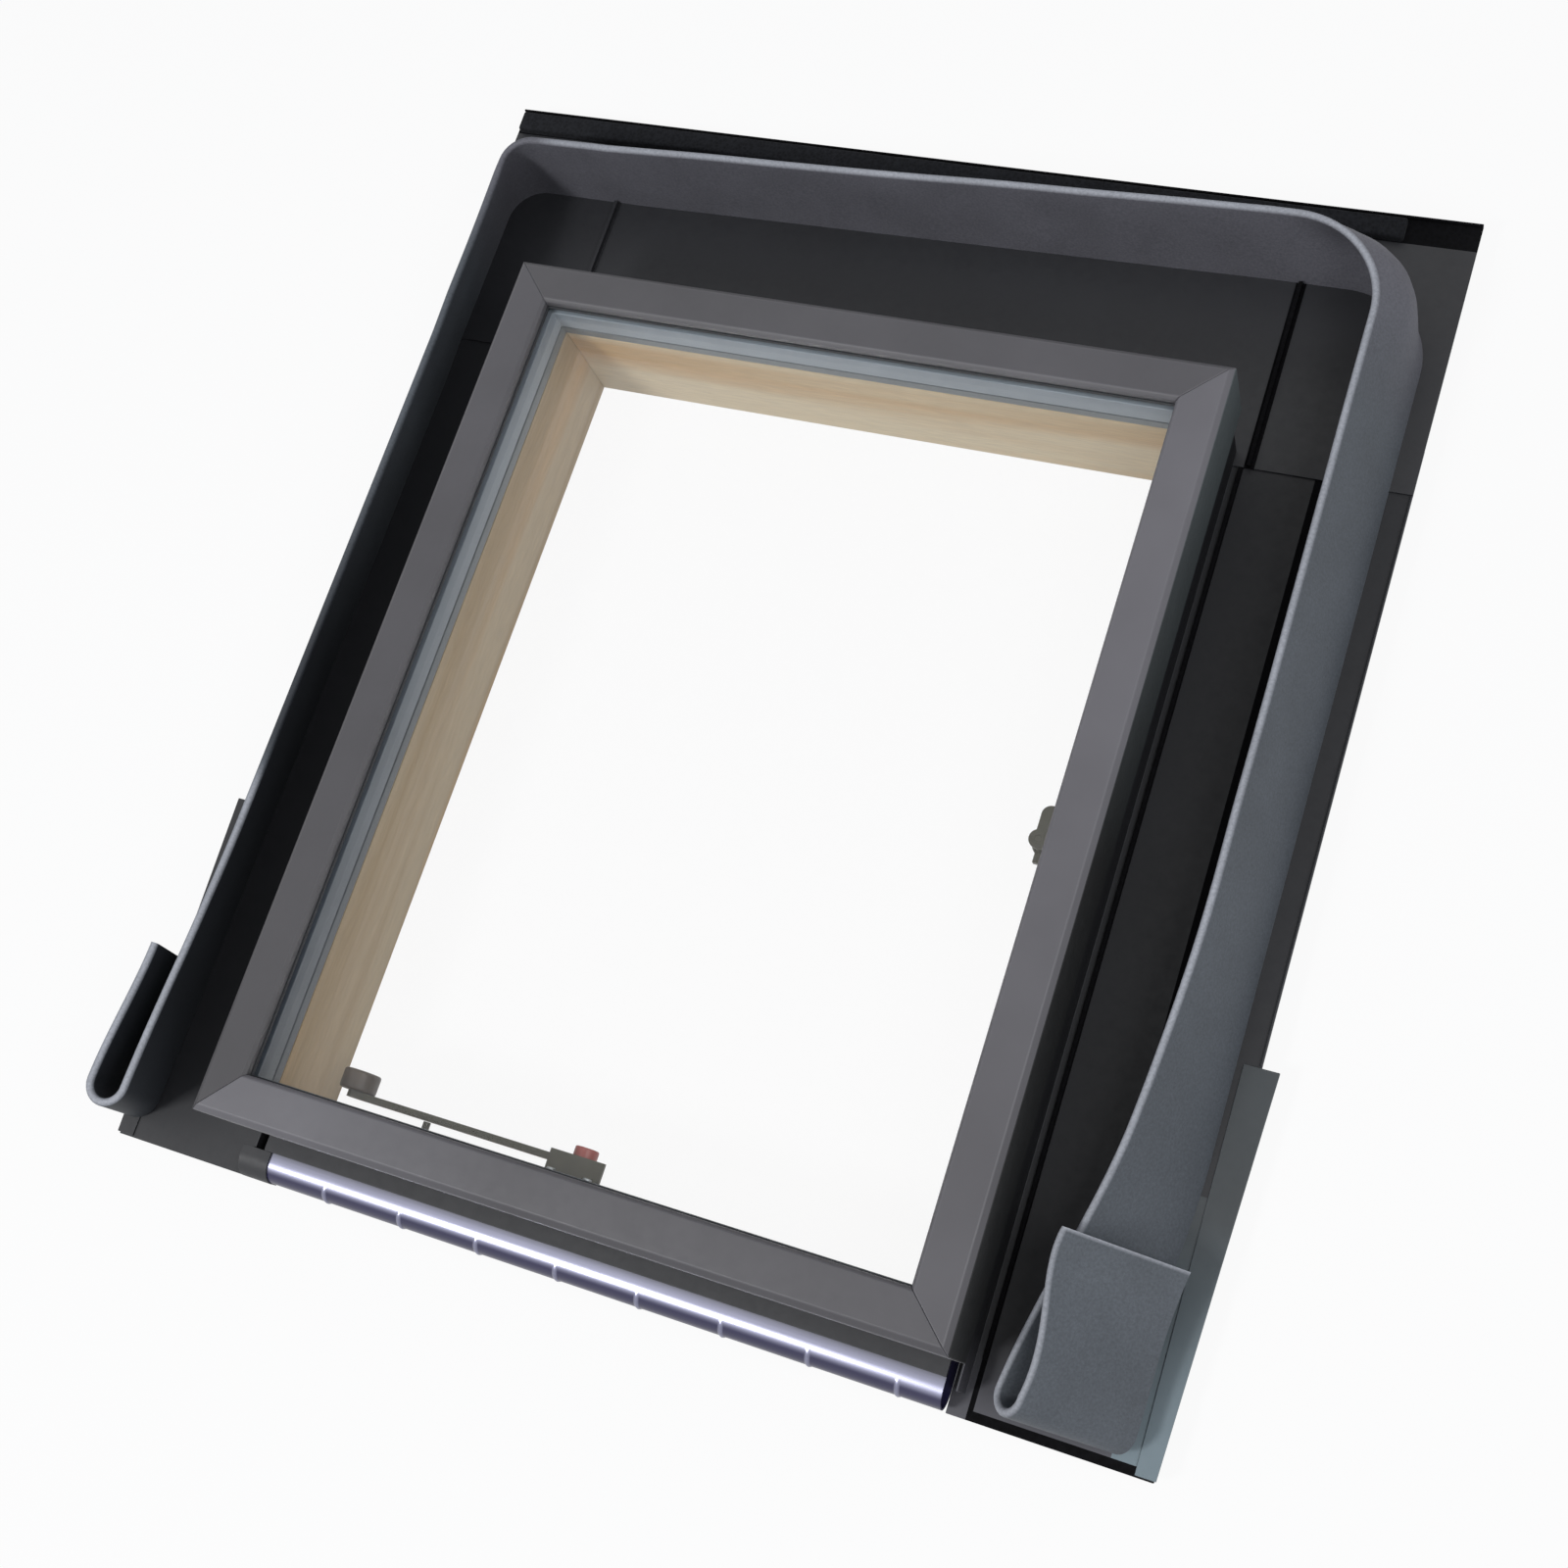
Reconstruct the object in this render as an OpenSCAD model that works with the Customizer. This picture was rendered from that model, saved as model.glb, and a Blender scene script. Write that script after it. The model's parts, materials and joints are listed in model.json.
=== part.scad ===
// Side-hung roof skylight with its own flashing.
// It lies flat: +X to the right, +Y up the roof slope, +Z out of the roof.
// The origin is under the middle of the flashing, level with the lower edge of the pine frame.

/* [Sash] */
// Outer width of the sash
sash_w = 460; // [420:1:560]
// Outer length of the sash along the slope
sash_h = 564; // [520:1:680]
// Width of the visible face of the sash
ring_w = 27.5; // [25:0.5:34]
// Height of the face above the glazing seal
face_t = 6; // [5:0.5:9]
// Drop from the ridge of the face to its outer edge
face_fall = 1.5; // [0.5:0.5:2]
// Chamfer along the outer edge of the face
face_chamfer = 3.5; // [2:0.5:4]
// Chamfer along the inner edge of the face
lip_chamfer = 2; // [1:0.5:3]
// Wall of the sash beside the glass
wall_t = 7; // [6:0.5:9]
// Wall of the skirt that hangs over the frame
skirt_t = 3.5; // [3:0.5:5]
// How far the skirt hangs below the top of the pine frame
skirt_lap = 11; // [8:0.5:16]
// Clearance between the skirt and the flashing behind it
skirt_gap = 1.3; // [1:0.1:3]

/* [Glazing] */
// Thickness of one pane
pane_t = 4; // [3:0.5:6]
// Distance between the panes
cavity = 16; // [10:1:20]
// Clearance between the edge of the glass and the sash wall
glass_gap = 0.5; // [0.3:0.1:1.5]
// How far the spacer stands inside the visible face
spacer_reveal = 1.5; // [0:0.5:4]
// Width of the spacer and its edge seal
spacer_w = 15; // [10:0.5:18]
// Thickness of the glazing seal
glazing_seal_t = 2; // [1:0.5:3]
// Width of the glazing seal
glazing_seal_w = 12; // [8:0.5:16]
// How far the lip of the glazing seal shows inside the face
seal_reveal = 1; // [0:0.25:2]
// Height of the glazing beads
bead_h = 6.5; // [6:0.5:9]

/* [Pine frame] */
// Height of the pine boards
pine_h = 71; // [64:0.5:90]
// Set-back of the pine behind the glazing beads
pine_reveal = 1; // [0.6:0.1:3]
// Thickness of the frame seal
frame_seal_t = 2.2; // [1.5:0.1:4]
// Width of the frame seal
frame_seal_w = 8; // [5:0.5:12]
// Gap between the frame seal and the closed sash
closing_gap = 0.3; // [0.3:0.1:1]

/* [Flashing] */
// Thickness of the flashing sheet
sheet_t = 1.2; // [0.8:0.1:2]
// Height of the roof deck above the lower edge of the pine frame
deck_h = 13.3; // [8:0.1:18]
// Distance from the pine frame to the side edge of the flashing
gutter_w = 108; // [102:1:130]
// Distance from the pine frame to the upper edge of the flashing
top_w = 174; // [160:1:210]
// Distance from the pine frame to the front of the apron
sill_w = 33; // [31:1:46]
// Distance from the top of the pine frame down to the edge of the upstand
upstand_drop = 3; // [2:0.5:6]
// How far the side sections run on under the top section
lap_w = 30; // [20:1:40]
// How far the ears of the top section reach down beside the frame
ear_w = 9; // [5:1:20]
// Height of the folded rim along the side edge
rim_h = 2.2; // [1:0.1:4]
// Distance of the drip rib from the frame
rib_x = 4; // [3:0.5:14]
// Width of the drip rib and of the corner welts
rib_w = 2.4; // [1.5:0.1:4]
// Height of the drip rib
rib_h = 2.5; // [1:0.1:5]
// Distance of the corner welts from the side of the frame
welt_x = 10; // [8:1:30]
// Height of the corner welts
welt_h = 4; // [2:0.5:8]
// Clearance between the corner welts and the collar
welt_gap = 1; // [0.5:0.1:3]
// Height of the folded rim along the upper edge
top_rim_h = 3; // [1:0.5:6]
// Drop of the folded edge at the front of the side sections
drip_h = 5; // [2:0.5:8]
// Radius of the fixing holes in the top flange
fix_r = 2.5; // [1.5:0.25:4]
// Distance between the fixing holes
fix_pitch = 500; // [300:10:560]
// Distance from the fixing holes to the upper edge
fix_back = 36; // [32:1:42]

/* [Sill and apron] */
// Depth of the sill ledge in front of the upstand
ledge_w = 14; // [10:1:16]
// Outer radius of the apron roll
roll_r = 11.4; // [9:0.2:14]
// Depth of the folded-under leg of the apron
under_w = 12; // [6:1:16]
// How far the apron ends short of the side of the frame
apron_gap = 6.5; // [3:0.5:8]
// Clearance between the end of the apron and the toe of the side sections
toe_gap = 0.3; // [0.1:0.1:2]
// Distance between the pleats of the apron
pleat_pitch = 52; // [20:1:60]
// Width of one pleat
pleat_w = 2.2; // [1:0.1:4]
// Height of one pleat
pleat_h = 0.7; // [0.4:0.1:1.5]
// Length of the corner cap
cap_len = 20; // [17:1:40]
// How far the corner cap stands out past the side of the frame
cap_out = 8; // [4:1:8]
// Clearance between the corner cap and the roll
cap_gap = 0.1; // [0.1:0.05:0.5]

/* [Wings and foam] */
// How far the wings stand out past the side edge
wing_out = 10; // [4:0.5:14]
// Width lost by the wings towards the lower end
wing_taper = 8.5; // [0:0.5:12]
// Length of the wings
wing_len = 224; // [150:1:260]
// Distance from the lower end of the wings to the front of the apron
wing_end = 1; // [1:1:20]
// Distance from the foot of the collar to the wings
wing_in = 6.5; // [6:0.5:9]
// Width of the foam strip
foam_w = 15; // [10:1:20]
// Height of the foam strip
foam_h = 7; // [4:0.5:14]
// Distance from the foam strip to the upper edge
foam_edge = 3; // [2:1:8]
// Distance from the left end of the foam strip to the side edge
foam_left = 2; // [0:1:20]
// Distance from the right end of the foam strip to the side edge
foam_right = 44; // [0:1:80]

/* [Collar] */
// Width of the strip the collar is made of
collar_w = 70.5; // [55:0.5:80]
// Thickness of the strip
collar_t = 5; // [3:0.25:6]
// Distance from the side edge to the foot of the collar
collar_in = 16.5; // [15:0.5:28]
// Distance from the upper edge to the foot of the collar
collar_back = 56; // [52:1:70]
// Inward lean of the sides, in degrees
collar_lean = 21; // [10:1:28]
// Inward lean of the left side at its lower end, in degrees
left_lean = 17; // [10:1:28]
// Length over which the left side changes its lean
left_ease = 180; // [100:1:220]
// Inward lean of the top run at the left, in degrees
top_lean_left = 4; // [0:0.5:8]
// Outward lean of the top run at the right, in degrees
top_lean_right = 2; // [0:0.5:6]
// How far the top run strays up at the right and down at the left
top_stray = 4; // [0:0.5:6]
// Radius of the right corner at the foot
foot_r_right = 52; // [25:1:60]
// Radius of the right corner at the crest
crest_r_right = 56; // [40:1:65]
// Radius of the left corner at the foot
foot_r_left = 26; // [20:1:60]
// Radius of the left corner at the crest
crest_r_left = 17; // [12:1:60]
// Length of the sides and of the top run that the corners take up
corner_zone = 98; // [95:1:125]
// How far the right corner bulges out where it is fullest
corner_bulge = 12; // [0:0.5:14]
// How high the right corner is fullest: 1 is half way up, more is higher
bulge_rise = 1.5; // [1:0.1:2]
// Distance from the front of the apron to the left fold
fold_inset_left = 12; // [8:1:30]
// Distance from the front of the apron to the right fold
fold_inset_right = 8; // [6:1:30]
// Radius of the right fold at the foot
fold_r_right = 10; // [6:0.5:11]
// Radius of the right fold at the crest
fold_open_right = 14; // [8:0.5:16]
// Radius of the left fold
fold_r_left = 12; // [8:0.2:12.4]
// Length of the folded-back tails
tail_len = 87; // [60:1:120]
// Gap between the right tail and the crest of the collar at its free end
tail_gap = 0.8; // [0.5:0.1:3]
// Distance between the right tail and the foot of the collar at its free end
tail_lift = 22.5; // [12:0.5:26]
// How far the right tail rides up over the crest at its free end
tail_shift = 12.5; // [0:0.5:14]
// Distance between the left tail and the collar at its free end
tail_open = 18; // [12:0.5:22]
// Length over which the right side twists flat
twist_len = 300; // [200:1:320]
// Extra lean at the lower right end, in degrees
twist = 33; // [0:0.5:34]
// How far the foot sways inwards at the lower right end
foot_sway = 11; // [0:0.5:12]
// Length over which the foot sways inwards
sway_len = 150; // [80:1:180]

/* [Hinges] */
// Length of one hinge
hinge_len = 50; // [40:1:70]
// Distance from the middle of each hinge to the end of the sash
hinge_end = 112; // [60:1:150]
// Distance of the hinge axis from the side of the sash
hinge_out = 2; // [1.5:0.25:2.5]
// Distance of the hinge axis below the skirt
hinge_drop = 4; // [4:0.25:6]
// Outer radius of the knuckles
knuckle_r = 3.5; // [3:0.1:3.6]
// Radius of the hinge pins
hinge_pin_r = 1.5; // [1:0.1:1.8]
// Thickness of the hinge leaves
leaf_t = 1.5; // [1:0.1:1.5]
// Height of the frame leaf
frame_leaf_h = 22; // [18:1:28]
// Height of the sash leaf
sash_leaf_h = 30; // [27:1:34]
// Clearance between neighbouring knuckles
knuckle_gap = 0.3; // [0.2:0.05:0.6]
// Radial clearance of every pivot pin
pin_gap = 0.05; // [0.02:0.01:0.1]

/* [Stay] */
// Distance of the stay pivot from the middle of the sash
stay_x = 8; // [0:1:30]
// Height of the stay bar
stay_h = 10; // [8:0.5:12]
// Thickness of the stay bar
stay_t = 4; // [3:0.25:5]
// Distance from the pivot to the first hole
stay_first = 100; // [80:1:110]
// Distance between the holes
stay_pitch = 12; // [8:0.5:13]
// Number of holes
stay_holes = 4; // [2:1:4]
// Distance from the pivot to the grip
stay_grip_x = 150; // [148:1:160]
// Radius of the eye at the pivot
stay_eye_r = 8; // [6:0.5:8]
// Radius of the stay pin
stay_pin_r = 3; // [2:0.25:4]
// Radius of the peg
peg_r = 2.2; // [1.5:0.1:3]
// Length of the peg
peg_len = 6; // [5:0.5:8]
// Thickness of the plates of the fittings
plate_t = 2; // [1:0.1:2.5]
// Length of the small plates of the fittings
plate_w = 30; // [24:1:36]
// Radius of the grip
grip_r = 11; // [7:0.5:11]
// Length of the grip
grip_len = 12; // [10:1:18]
// Width of the stay bracket
bracket_w = 34; // [28:1:40]
// Depth of the stay bracket's shelf
shelf_w = 14; // [10:0.5:16]
// Radius of the red cap
cap_r = 7; // [6:0.5:10]
// Length of the red cap
cap_t = 8; // [5:0.5:10]

/* [Catch] */
// Distance of the catch pivot from the middle of the sash, along the slope
catch_y = -2; // [-40:1:40]
// Distance of the catch pivot from the glazing bead
catch_in = 12.5; // [11:0.25:16]
// Width of the lever
lever_w = 11; // [10:0.5:13]
// Thickness of the lever
lever_t = 4; // [3:0.25:5]
// Length of the lever from the pivot to the end of the handle
lever_len = 24; // [18:1:30]
// Reach of the nose from the pivot
nose_len = 10.5; // [9:0.25:10.75]
// Radius of the catch pin
catch_pin_r = 2; // [1.5:0.25:2.5]
// Depth of the keeper ledge
ledge_len = 6; // [4:0.25:6.5]
// Thickness of the keeper ledge
keeper_t = 3; // [2:0.25:4]
// Gap between the nose and the keeper ledge
nose_gap = 1; // [0.5:0.1:2]

/* [Screws] */
// Radius of the screw shanks
screw_r = 1.4; // [1:0.1:1.6]
// Radius of the screw heads
head_r = 2.6; // [2:0.1:2.8]
// Height of the screw heads
head_h = 1.4; // [1:0.1:2]
// Length of the wood screws under the head
wood_screw_len = 16; // [10:0.5:18]
// Length of the sash screws under the head
sash_screw_len = 6; // [4:0.5:7]
// Clearance round the shanks
screw_gap = 0.1; // [0.05:0.05:0.3]

/* [Hidden] */
$fn = 48;

// Levels, from the pine frame up through the glazing
z_seal = pine_h + frame_seal_t;
z_bead = z_seal + closing_gap;
z_inner = z_bead + bead_h;
z_spacer = z_inner + pane_t;
z_outer = z_spacer + cavity;
z_glazing_seal = z_outer + pane_t;
z_lip = z_glazing_seal + glazing_seal_t;
z_top = z_lip + face_t;
z_skirt = pine_h - skirt_lap;
z_upstand = pine_h - upstand_drop;
z_floor = deck_h + sheet_t;
z_top_floor = z_floor + sheet_t;

// Half sizes about the middle of the sash
sash_x = sash_w / 2;
sash_y = sash_h / 2;
face_x = sash_x - ring_w;
face_y = sash_y - ring_w;
frame_x = sash_x - skirt_t - skirt_gap - sheet_t;
frame_y = sash_y - skirt_t - skirt_gap - sheet_t;
hole_x = face_x + pine_reveal;
hole_y = face_y + pine_reveal;
pine_t = frame_x - hole_x;
curb_x = frame_x + sheet_t;
curb_y = frame_y + sheet_t;
edge_x = frame_x + gutter_w;
edge_top = frame_y + top_w;
edge_front = -frame_y - sill_w;
lap_y = frame_y - ear_w;
hinge_y = sash_y - hinge_end;
glass_x = sash_x - wall_t - glass_gap;
glass_y = sash_y - wall_t - glass_gap;
middle_y = -(edge_top + edge_front) / 2;

// Sill and apron
roll_y = edge_front + roll_r + cap_gap + sheet_t;
roll_z = deck_h + roll_r;
leg_z = deck_h + 2 * roll_r;
apron_x = frame_x - apron_gap;
toe_x = apron_x + toe_gap;
cap_x = -frame_x - cap_out;

// Collar
foot_x = edge_x - collar_in;
foot_top_y = edge_top - collar_back;
fold_y_right = edge_front + fold_inset_right + collar_t / 2 + fold_r_right;
fold_y_left = edge_front + fold_inset_left + collar_t / 2 + fold_r_left;
lift_z = z_floor + sheet_t + pin_gap * 4;
wing_x = foot_x + wing_in;

// Fittings
axis_x = -(sash_x + hinge_out);
axis_z = z_skirt - hinge_drop;
stay_z = z_bead - stay_eye_r - plate_t - 2 * knuckle_gap;
stay_back_y = -hole_y + plate_t + peg_len + 0.5;
stay_front_y = stay_back_y + stay_t;
catch_x = face_x - catch_in;
lever_z = z_skirt - lever_t - nose_gap;
base_z = z_bead - bead_h / 2;
bead_mid_z = z_bead + bead_h / 2;
peg_x = -stay_x - stay_first;
cut = 1;

// Helpers
function mix(a, b, t) = a + (b - a) * t;
function smooth(t) = let (c = min(max(t, 0), 1)) c * c * (3 - 2 * c);
function span(a, b, n) = [for (i = [0 : n]) mix(a, b, i / n)];
function unit(v) = v / norm(v);

// Moves what is drawn about the middle of the sash into the part's own frame.
module about_sash() {
    translate([0, middle_y, 0])
        children();
}

// A box from its two corners
module box(low, high) {
    translate(low)
        cube(high - low);
}

// A bar along X with a section drawn as (inward, up), cut at 45 degrees at both ends
module mitred_bar(length, width, low, high) {
    intersection() {
        rotate([90, 0, 90])
            linear_extrude(length, center = true)
                children();
        translate([0, 0, low])
            linear_extrude(high - low)
                polygon([[-length / 2, 0], [length / 2, 0],
                    [length / 2 - width, width], [width - length / 2, width]]);
    }
}

// A flat rectangular ring between two half sizes
module flat_ring(out_x, out_y, width, low, high) {
    translate([0, 0, low])
        linear_extrude(high - low)
            difference() {
                square([2 * out_x, 2 * out_y], center = true);
                square([2 * (out_x - width), 2 * (out_y - width)], center = true);
            }
}

// A round bar along Y from one place to another
module rod_y(r, from, to) {
    translate([0, from, 0])
        rotate([-90, 0, 0])
            cylinder(r = r, h = to - from);
}

// A round bar along X from one place to another
module rod_x(r, from, to) {
    translate([from, 0, 0])
        rotate([0, 90, 0])
            cylinder(r = r, h = to - from);
}

// Pine frame
module pine_stile(side) {
    about_sash()
        difference() {
            box([min(side * hole_x, side * frame_x), -frame_y, 0],
                [max(side * hole_x, side * frame_x), frame_y, pine_h]);
            wood_screw_holes();
        }
}

module pine_rail(side) {
    about_sash()
        difference() {
            box([-hole_x, min(side * hole_y, side * frame_y), 0],
                [hole_x, max(side * hole_y, side * frame_y), pine_h]);
            wood_screw_holes();
        }
}

module pine_top_rail() {
    color("burlywood")
        pine_rail(1);
}

module pine_bottom_rail() {
    color("burlywood")
        pine_rail(-1);
}

module pine_left_stile() {
    color("tan")
        pine_stile(-1);
}

module pine_right_stile() {
    color("tan")
        pine_stile(1);
}

module frame_seal() {
    color("black")
        about_sash()
            flat_ring(hole_x + (pine_t + frame_seal_w) / 2, hole_y + (pine_t + frame_seal_w) / 2,
                frame_seal_w, pine_h, z_seal);
}

// Flashing
module flashing_top() {
    color("dimgray")
        about_sash()
            difference() {
                union() {
                    difference() {
                        box([-edge_x, lap_y, z_floor], [edge_x, edge_top, z_top_floor]);
                        box([-curb_x, lap_y - cut, deck_h], [curb_x, frame_y, z_upstand]);
                    }
                    box([-curb_x, frame_y, z_floor], [curb_x, curb_y, z_upstand]);
                    box([-edge_x, edge_top - sheet_t, z_floor], [edge_x, edge_top, z_top_floor + top_rim_h]);
                    for (side = [-1, 1])
                        corner_welt(side);
                }
                for (side = [-1, 1])
                    translate([side * fix_pitch / 2, edge_top - fix_back, deck_h])
                        cylinder(r = fix_r, h = z_top_floor);
            }
}

module corner_welt(side) {
    translate([side * (curb_x + welt_x) - rib_w / 2, lap_y, z_floor])
        cube([rib_w, foot_top_y + side * top_stray - collar_t / 2 - welt_gap - lap_y, sheet_t + welt_h]);
}

module flashing_side(side) {
    about_sash()
        difference() {
            mirror([side < 0 ? 1 : 0, 0, 0])
                union() {
                    box([frame_x, -frame_y, deck_h], [curb_x, frame_y, z_upstand]);
                    box([frame_x, edge_front, deck_h], [edge_x, lap_y + lap_w, z_floor]);
                    box([toe_x, edge_front, deck_h], [edge_x, -frame_y, z_floor]);
                    box([toe_x, edge_front, deck_h - drip_h], [edge_x, edge_front + sheet_t, z_floor]);
                    box([frame_x, roll_y, deck_h], [curb_x, -frame_y, leg_z - cap_gap]);
                    box([curb_x + rib_x, -frame_y, deck_h], [curb_x + rib_x + rib_w, lap_y - cut, z_floor + rib_h]);
                    box([edge_x - sheet_t, edge_front + wing_end + wing_len + cut, deck_h],
                        [edge_x, lap_y - cut, z_floor + rim_h]);
                }
            wood_screw_holes();
        }
}

module flashing_left() {
    color("darkslategray")
        flashing_side(-1);
}

module flashing_right() {
    color("darkslategray")
        flashing_side(1);
}

module flashing_sill() {
    color("dimgray")
        about_sash()
            union() {
                box([-curb_x, -curb_y, leg_z], [curb_x, -frame_y, z_upstand]);
                box([-apron_x, -curb_y - ledge_w, leg_z], [apron_x, -frame_y, leg_z + sheet_t]);
            }
}

// The front half of a round bar along X
module front_half(r, from, to) {
    translate([0, roll_y, roll_z])
        difference() {
            rod_x(r, from, to);
            box([from - cut, 0, -r - cut], [to + cut, r + cut, r + cut]);
        }
}

module roll_bore(r, from, to) {
    translate([0, roll_y, roll_z])
        rod_x(r, from, to);
}

// One raised pleat over the top and front of the roll
module pleat(x) {
    difference() {
        front_half(roll_r + pleat_h, x, x + pleat_w);
        roll_bore(roll_r - sheet_t / 2, x - cut, x + pleat_w + cut);
        box([x - cut, edge_front - cut, 0], [x + pleat_w + cut, 0, z_floor]);
    }
}

module apron() {
    left = -apron_x;
    count = floor((2 * apron_x - cap_len) / pleat_pitch);
    color("silver")
        about_sash()
            union() {
                difference() {
                    front_half(roll_r, left, apron_x);
                    roll_bore(roll_r - sheet_t, left - cut, apron_x + cut);
                }
                box([left, roll_y, leg_z - sheet_t], [apron_x, -frame_y, leg_z]);
                box([left, roll_y, deck_h], [apron_x, roll_y + under_w, z_floor]);
                for (i = [1 : count])
                    pleat(apron_x - (i - 1 / 2) * pleat_pitch);
            }
}

module corner_cap() {
    in_r = roll_r + cap_gap;
    out_r = in_r + sheet_t;
    left = cap_x;
    color("gray")
        about_sash()
            difference() {
                union() {
                    front_half(out_r, left, left + cap_len);
                    box([left, roll_y, roll_z + in_r], [left + cap_len, -curb_y - ledge_w, roll_z + out_r]);
                }
                roll_bore(in_r, left + sheet_t, left + cap_len + cut);
                box([left - cut, edge_front - roll_r, 0], [left + cap_len + cut, 0, z_floor]);
            }
}

// Wings and foam
module wing(side) {
    low = edge_front + wing_end;
    about_sash()
        mirror([side < 0 ? 1 : 0, 0, 0])
            translate([0, 0, z_floor])
                linear_extrude(sheet_t)
                    polygon([[wing_x, low], [edge_x + wing_out - wing_taper, low],
                        [edge_x + wing_out, low + wing_len], [wing_x, low + wing_len]]);
}

module wing_left() {
    color("slategray")
        wing(-1);
}

module wing_right() {
    color("slategray")
        wing(1);
}

module foam_strip() {
    color("black")
        about_sash()
            box([-edge_x + foam_left, edge_top - foam_edge - foam_w, z_top_floor],
                [edge_x - foam_right, edge_top - foam_edge, z_top_floor + foam_h]);
}

// Collar: every station is a point on the foot line and the point above it on the crest.
function lean_dir(side, angle) = [-side * sin(angle), 0, cos(angle)];
function face_dir(side, angle) = [side * cos(angle), 0, sin(angle)];
function right_lean(y) =
    collar_lean + twist * pow(min(max((fold_y_right + twist_len - y) / twist_len, 0), 1), 2);
function side_lean_left(y) = mix(collar_lean, left_lean, smooth((fold_y_left + left_ease - y) / left_ease));
function right_foot_x(y) = foot_x - foot_sway * smooth((fold_y_right + sway_len - y) / sway_len);
function side_foot_z(y) = z_floor + sheet_t * min(max((y - lap_y + lap_w) / lap_w, 0), 1);
function left_foot_z(y) =
    side_foot_z(y) + (lift_z - z_floor) * min(max((fold_y_left + tail_len - y) / tail_len, 0), 1);
function upright(foot, up) = [foot, foot + up * collar_w];

// Right tail: it leaves the fold, closes on the crest of the collar and stands off its foot.
function tail_station(y) =
    let (t = smooth((y - fold_y_right) / tail_len), lean = right_lean(y))
    let (foot_away = mix(2 * fold_r_right, tail_lift, t))
    let (crest_away = mix(2 * fold_open_right, collar_t + tail_gap, t))
    let (shift = tail_shift * t, end_away = foot_away + (crest_away - foot_away) * collar_w / (collar_w - shift))
    let (base = [right_foot_x(y), y, z_floor], up = lean_dir(1, lean), face = face_dir(1, lean))
        [base + face * foot_away + up * shift, base + face * end_away + up * (shift + collar_w)];
right_tail = [for (y = span(fold_y_right + tail_len, fold_y_right, 14)) tail_station(y)];

// Right fold: wider at the crest than at the foot
right_fold_base = upright([right_foot_x(fold_y_right), fold_y_right, z_floor], lean_dir(1, right_lean(fold_y_right)));
right_fold_face = face_dir(1, right_lean(fold_y_right));
function right_fold_way(r, a) = [0, -fold_r_right * sin(a), 0] + right_fold_face * r * (1 - cos(a));
right_fold = [for (a = span(165, 15, 12))
    [right_fold_base[0] + right_fold_way(fold_r_right, a), right_fold_base[1] + right_fold_way(fold_open_right, a)]];

right_ys = concat(span(fold_y_right, fold_y_right + twist_len, 24), [lap_y - lap_w, lap_y]);
right_side = [for (y = right_ys)
    upright([right_foot_x(y), y, side_foot_z(y)], lean_dir(1, right_lean(y)))];

// Corners: foot and crest each run straight, round an arc and straight again; equal shares of both are joined.
corner_y = foot_top_y - corner_zone;
corner_x = foot_x - corner_zone;
crest_x = foot_x - collar_w * sin(collar_lean);
top_run_in = collar_w * sin(top_lean_left);
function bent_path(x, top_y, r, s) =
    let (first = top_y - r - corner_y, arc = r * PI / 2, last = x - r - corner_x)
    let (q = s * (first + arc + last), a = (q - first) / r * 180 / PI)
        q < first ? [x, corner_y + q]
        : q < first + arc ? [x - r + r * cos(a), top_y - r + r * sin(a)]
        : [x - r - (q - first - arc), top_y];
function corner_station(side, foot_r, crest_r, foot_y, crest_y, lean, bulge, s) =
    let (foot = bent_path(foot_x, foot_y, foot_r, s), crest = bent_path(crest_x, crest_y, crest_r, s))
    let (rise = collar_w * mix(cos(collar_lean), cos(lean), smooth(s)))
        [[side * foot[0], foot[1], z_top_floor], [side * crest[0], crest[1], z_top_floor + rise],
            bulge * pow(sin(180 * s), 2)];
right_corner = [for (s = span(0, 1, 24))
    corner_station(1, foot_r_right, crest_r_right, foot_top_y + top_stray,
        foot_top_y + top_stray + collar_w * sin(top_lean_right), top_lean_right, corner_bulge, s)];
left_corner = [for (s = span(1, 0, 24))
    corner_station(-1, foot_r_left, crest_r_left, foot_top_y - top_stray,
        foot_top_y - top_stray - top_run_in, top_lean_left, 0, s)];

left_ys = concat([lap_y, lap_y - lap_w], span(fold_y_left + left_ease, fold_y_left, 14));
left_side = [for (y = left_ys)
    upright([-foot_x, y, left_foot_z(y)], lean_dir(-1, side_lean_left(y)))];
left_fold = [for (a = span(12, 168, 14))
    upright([-foot_x - fold_r_left * (1 - cos(a)), fold_y_left - fold_r_left * sin(a), lift_z],
        lean_dir(-1, left_lean))];
left_tail = [for (y = span(fold_y_left, fold_y_left + tail_len, 10))
    upright([-foot_x - mix(2 * fold_r_left, tail_open, smooth((y - fold_y_left) / tail_len)), y, lift_z],
        lean_dir(-1, left_lean))];
stations = concat(right_tail, right_fold, right_side, right_corner, left_corner, left_side, left_fold, left_tail);

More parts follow.
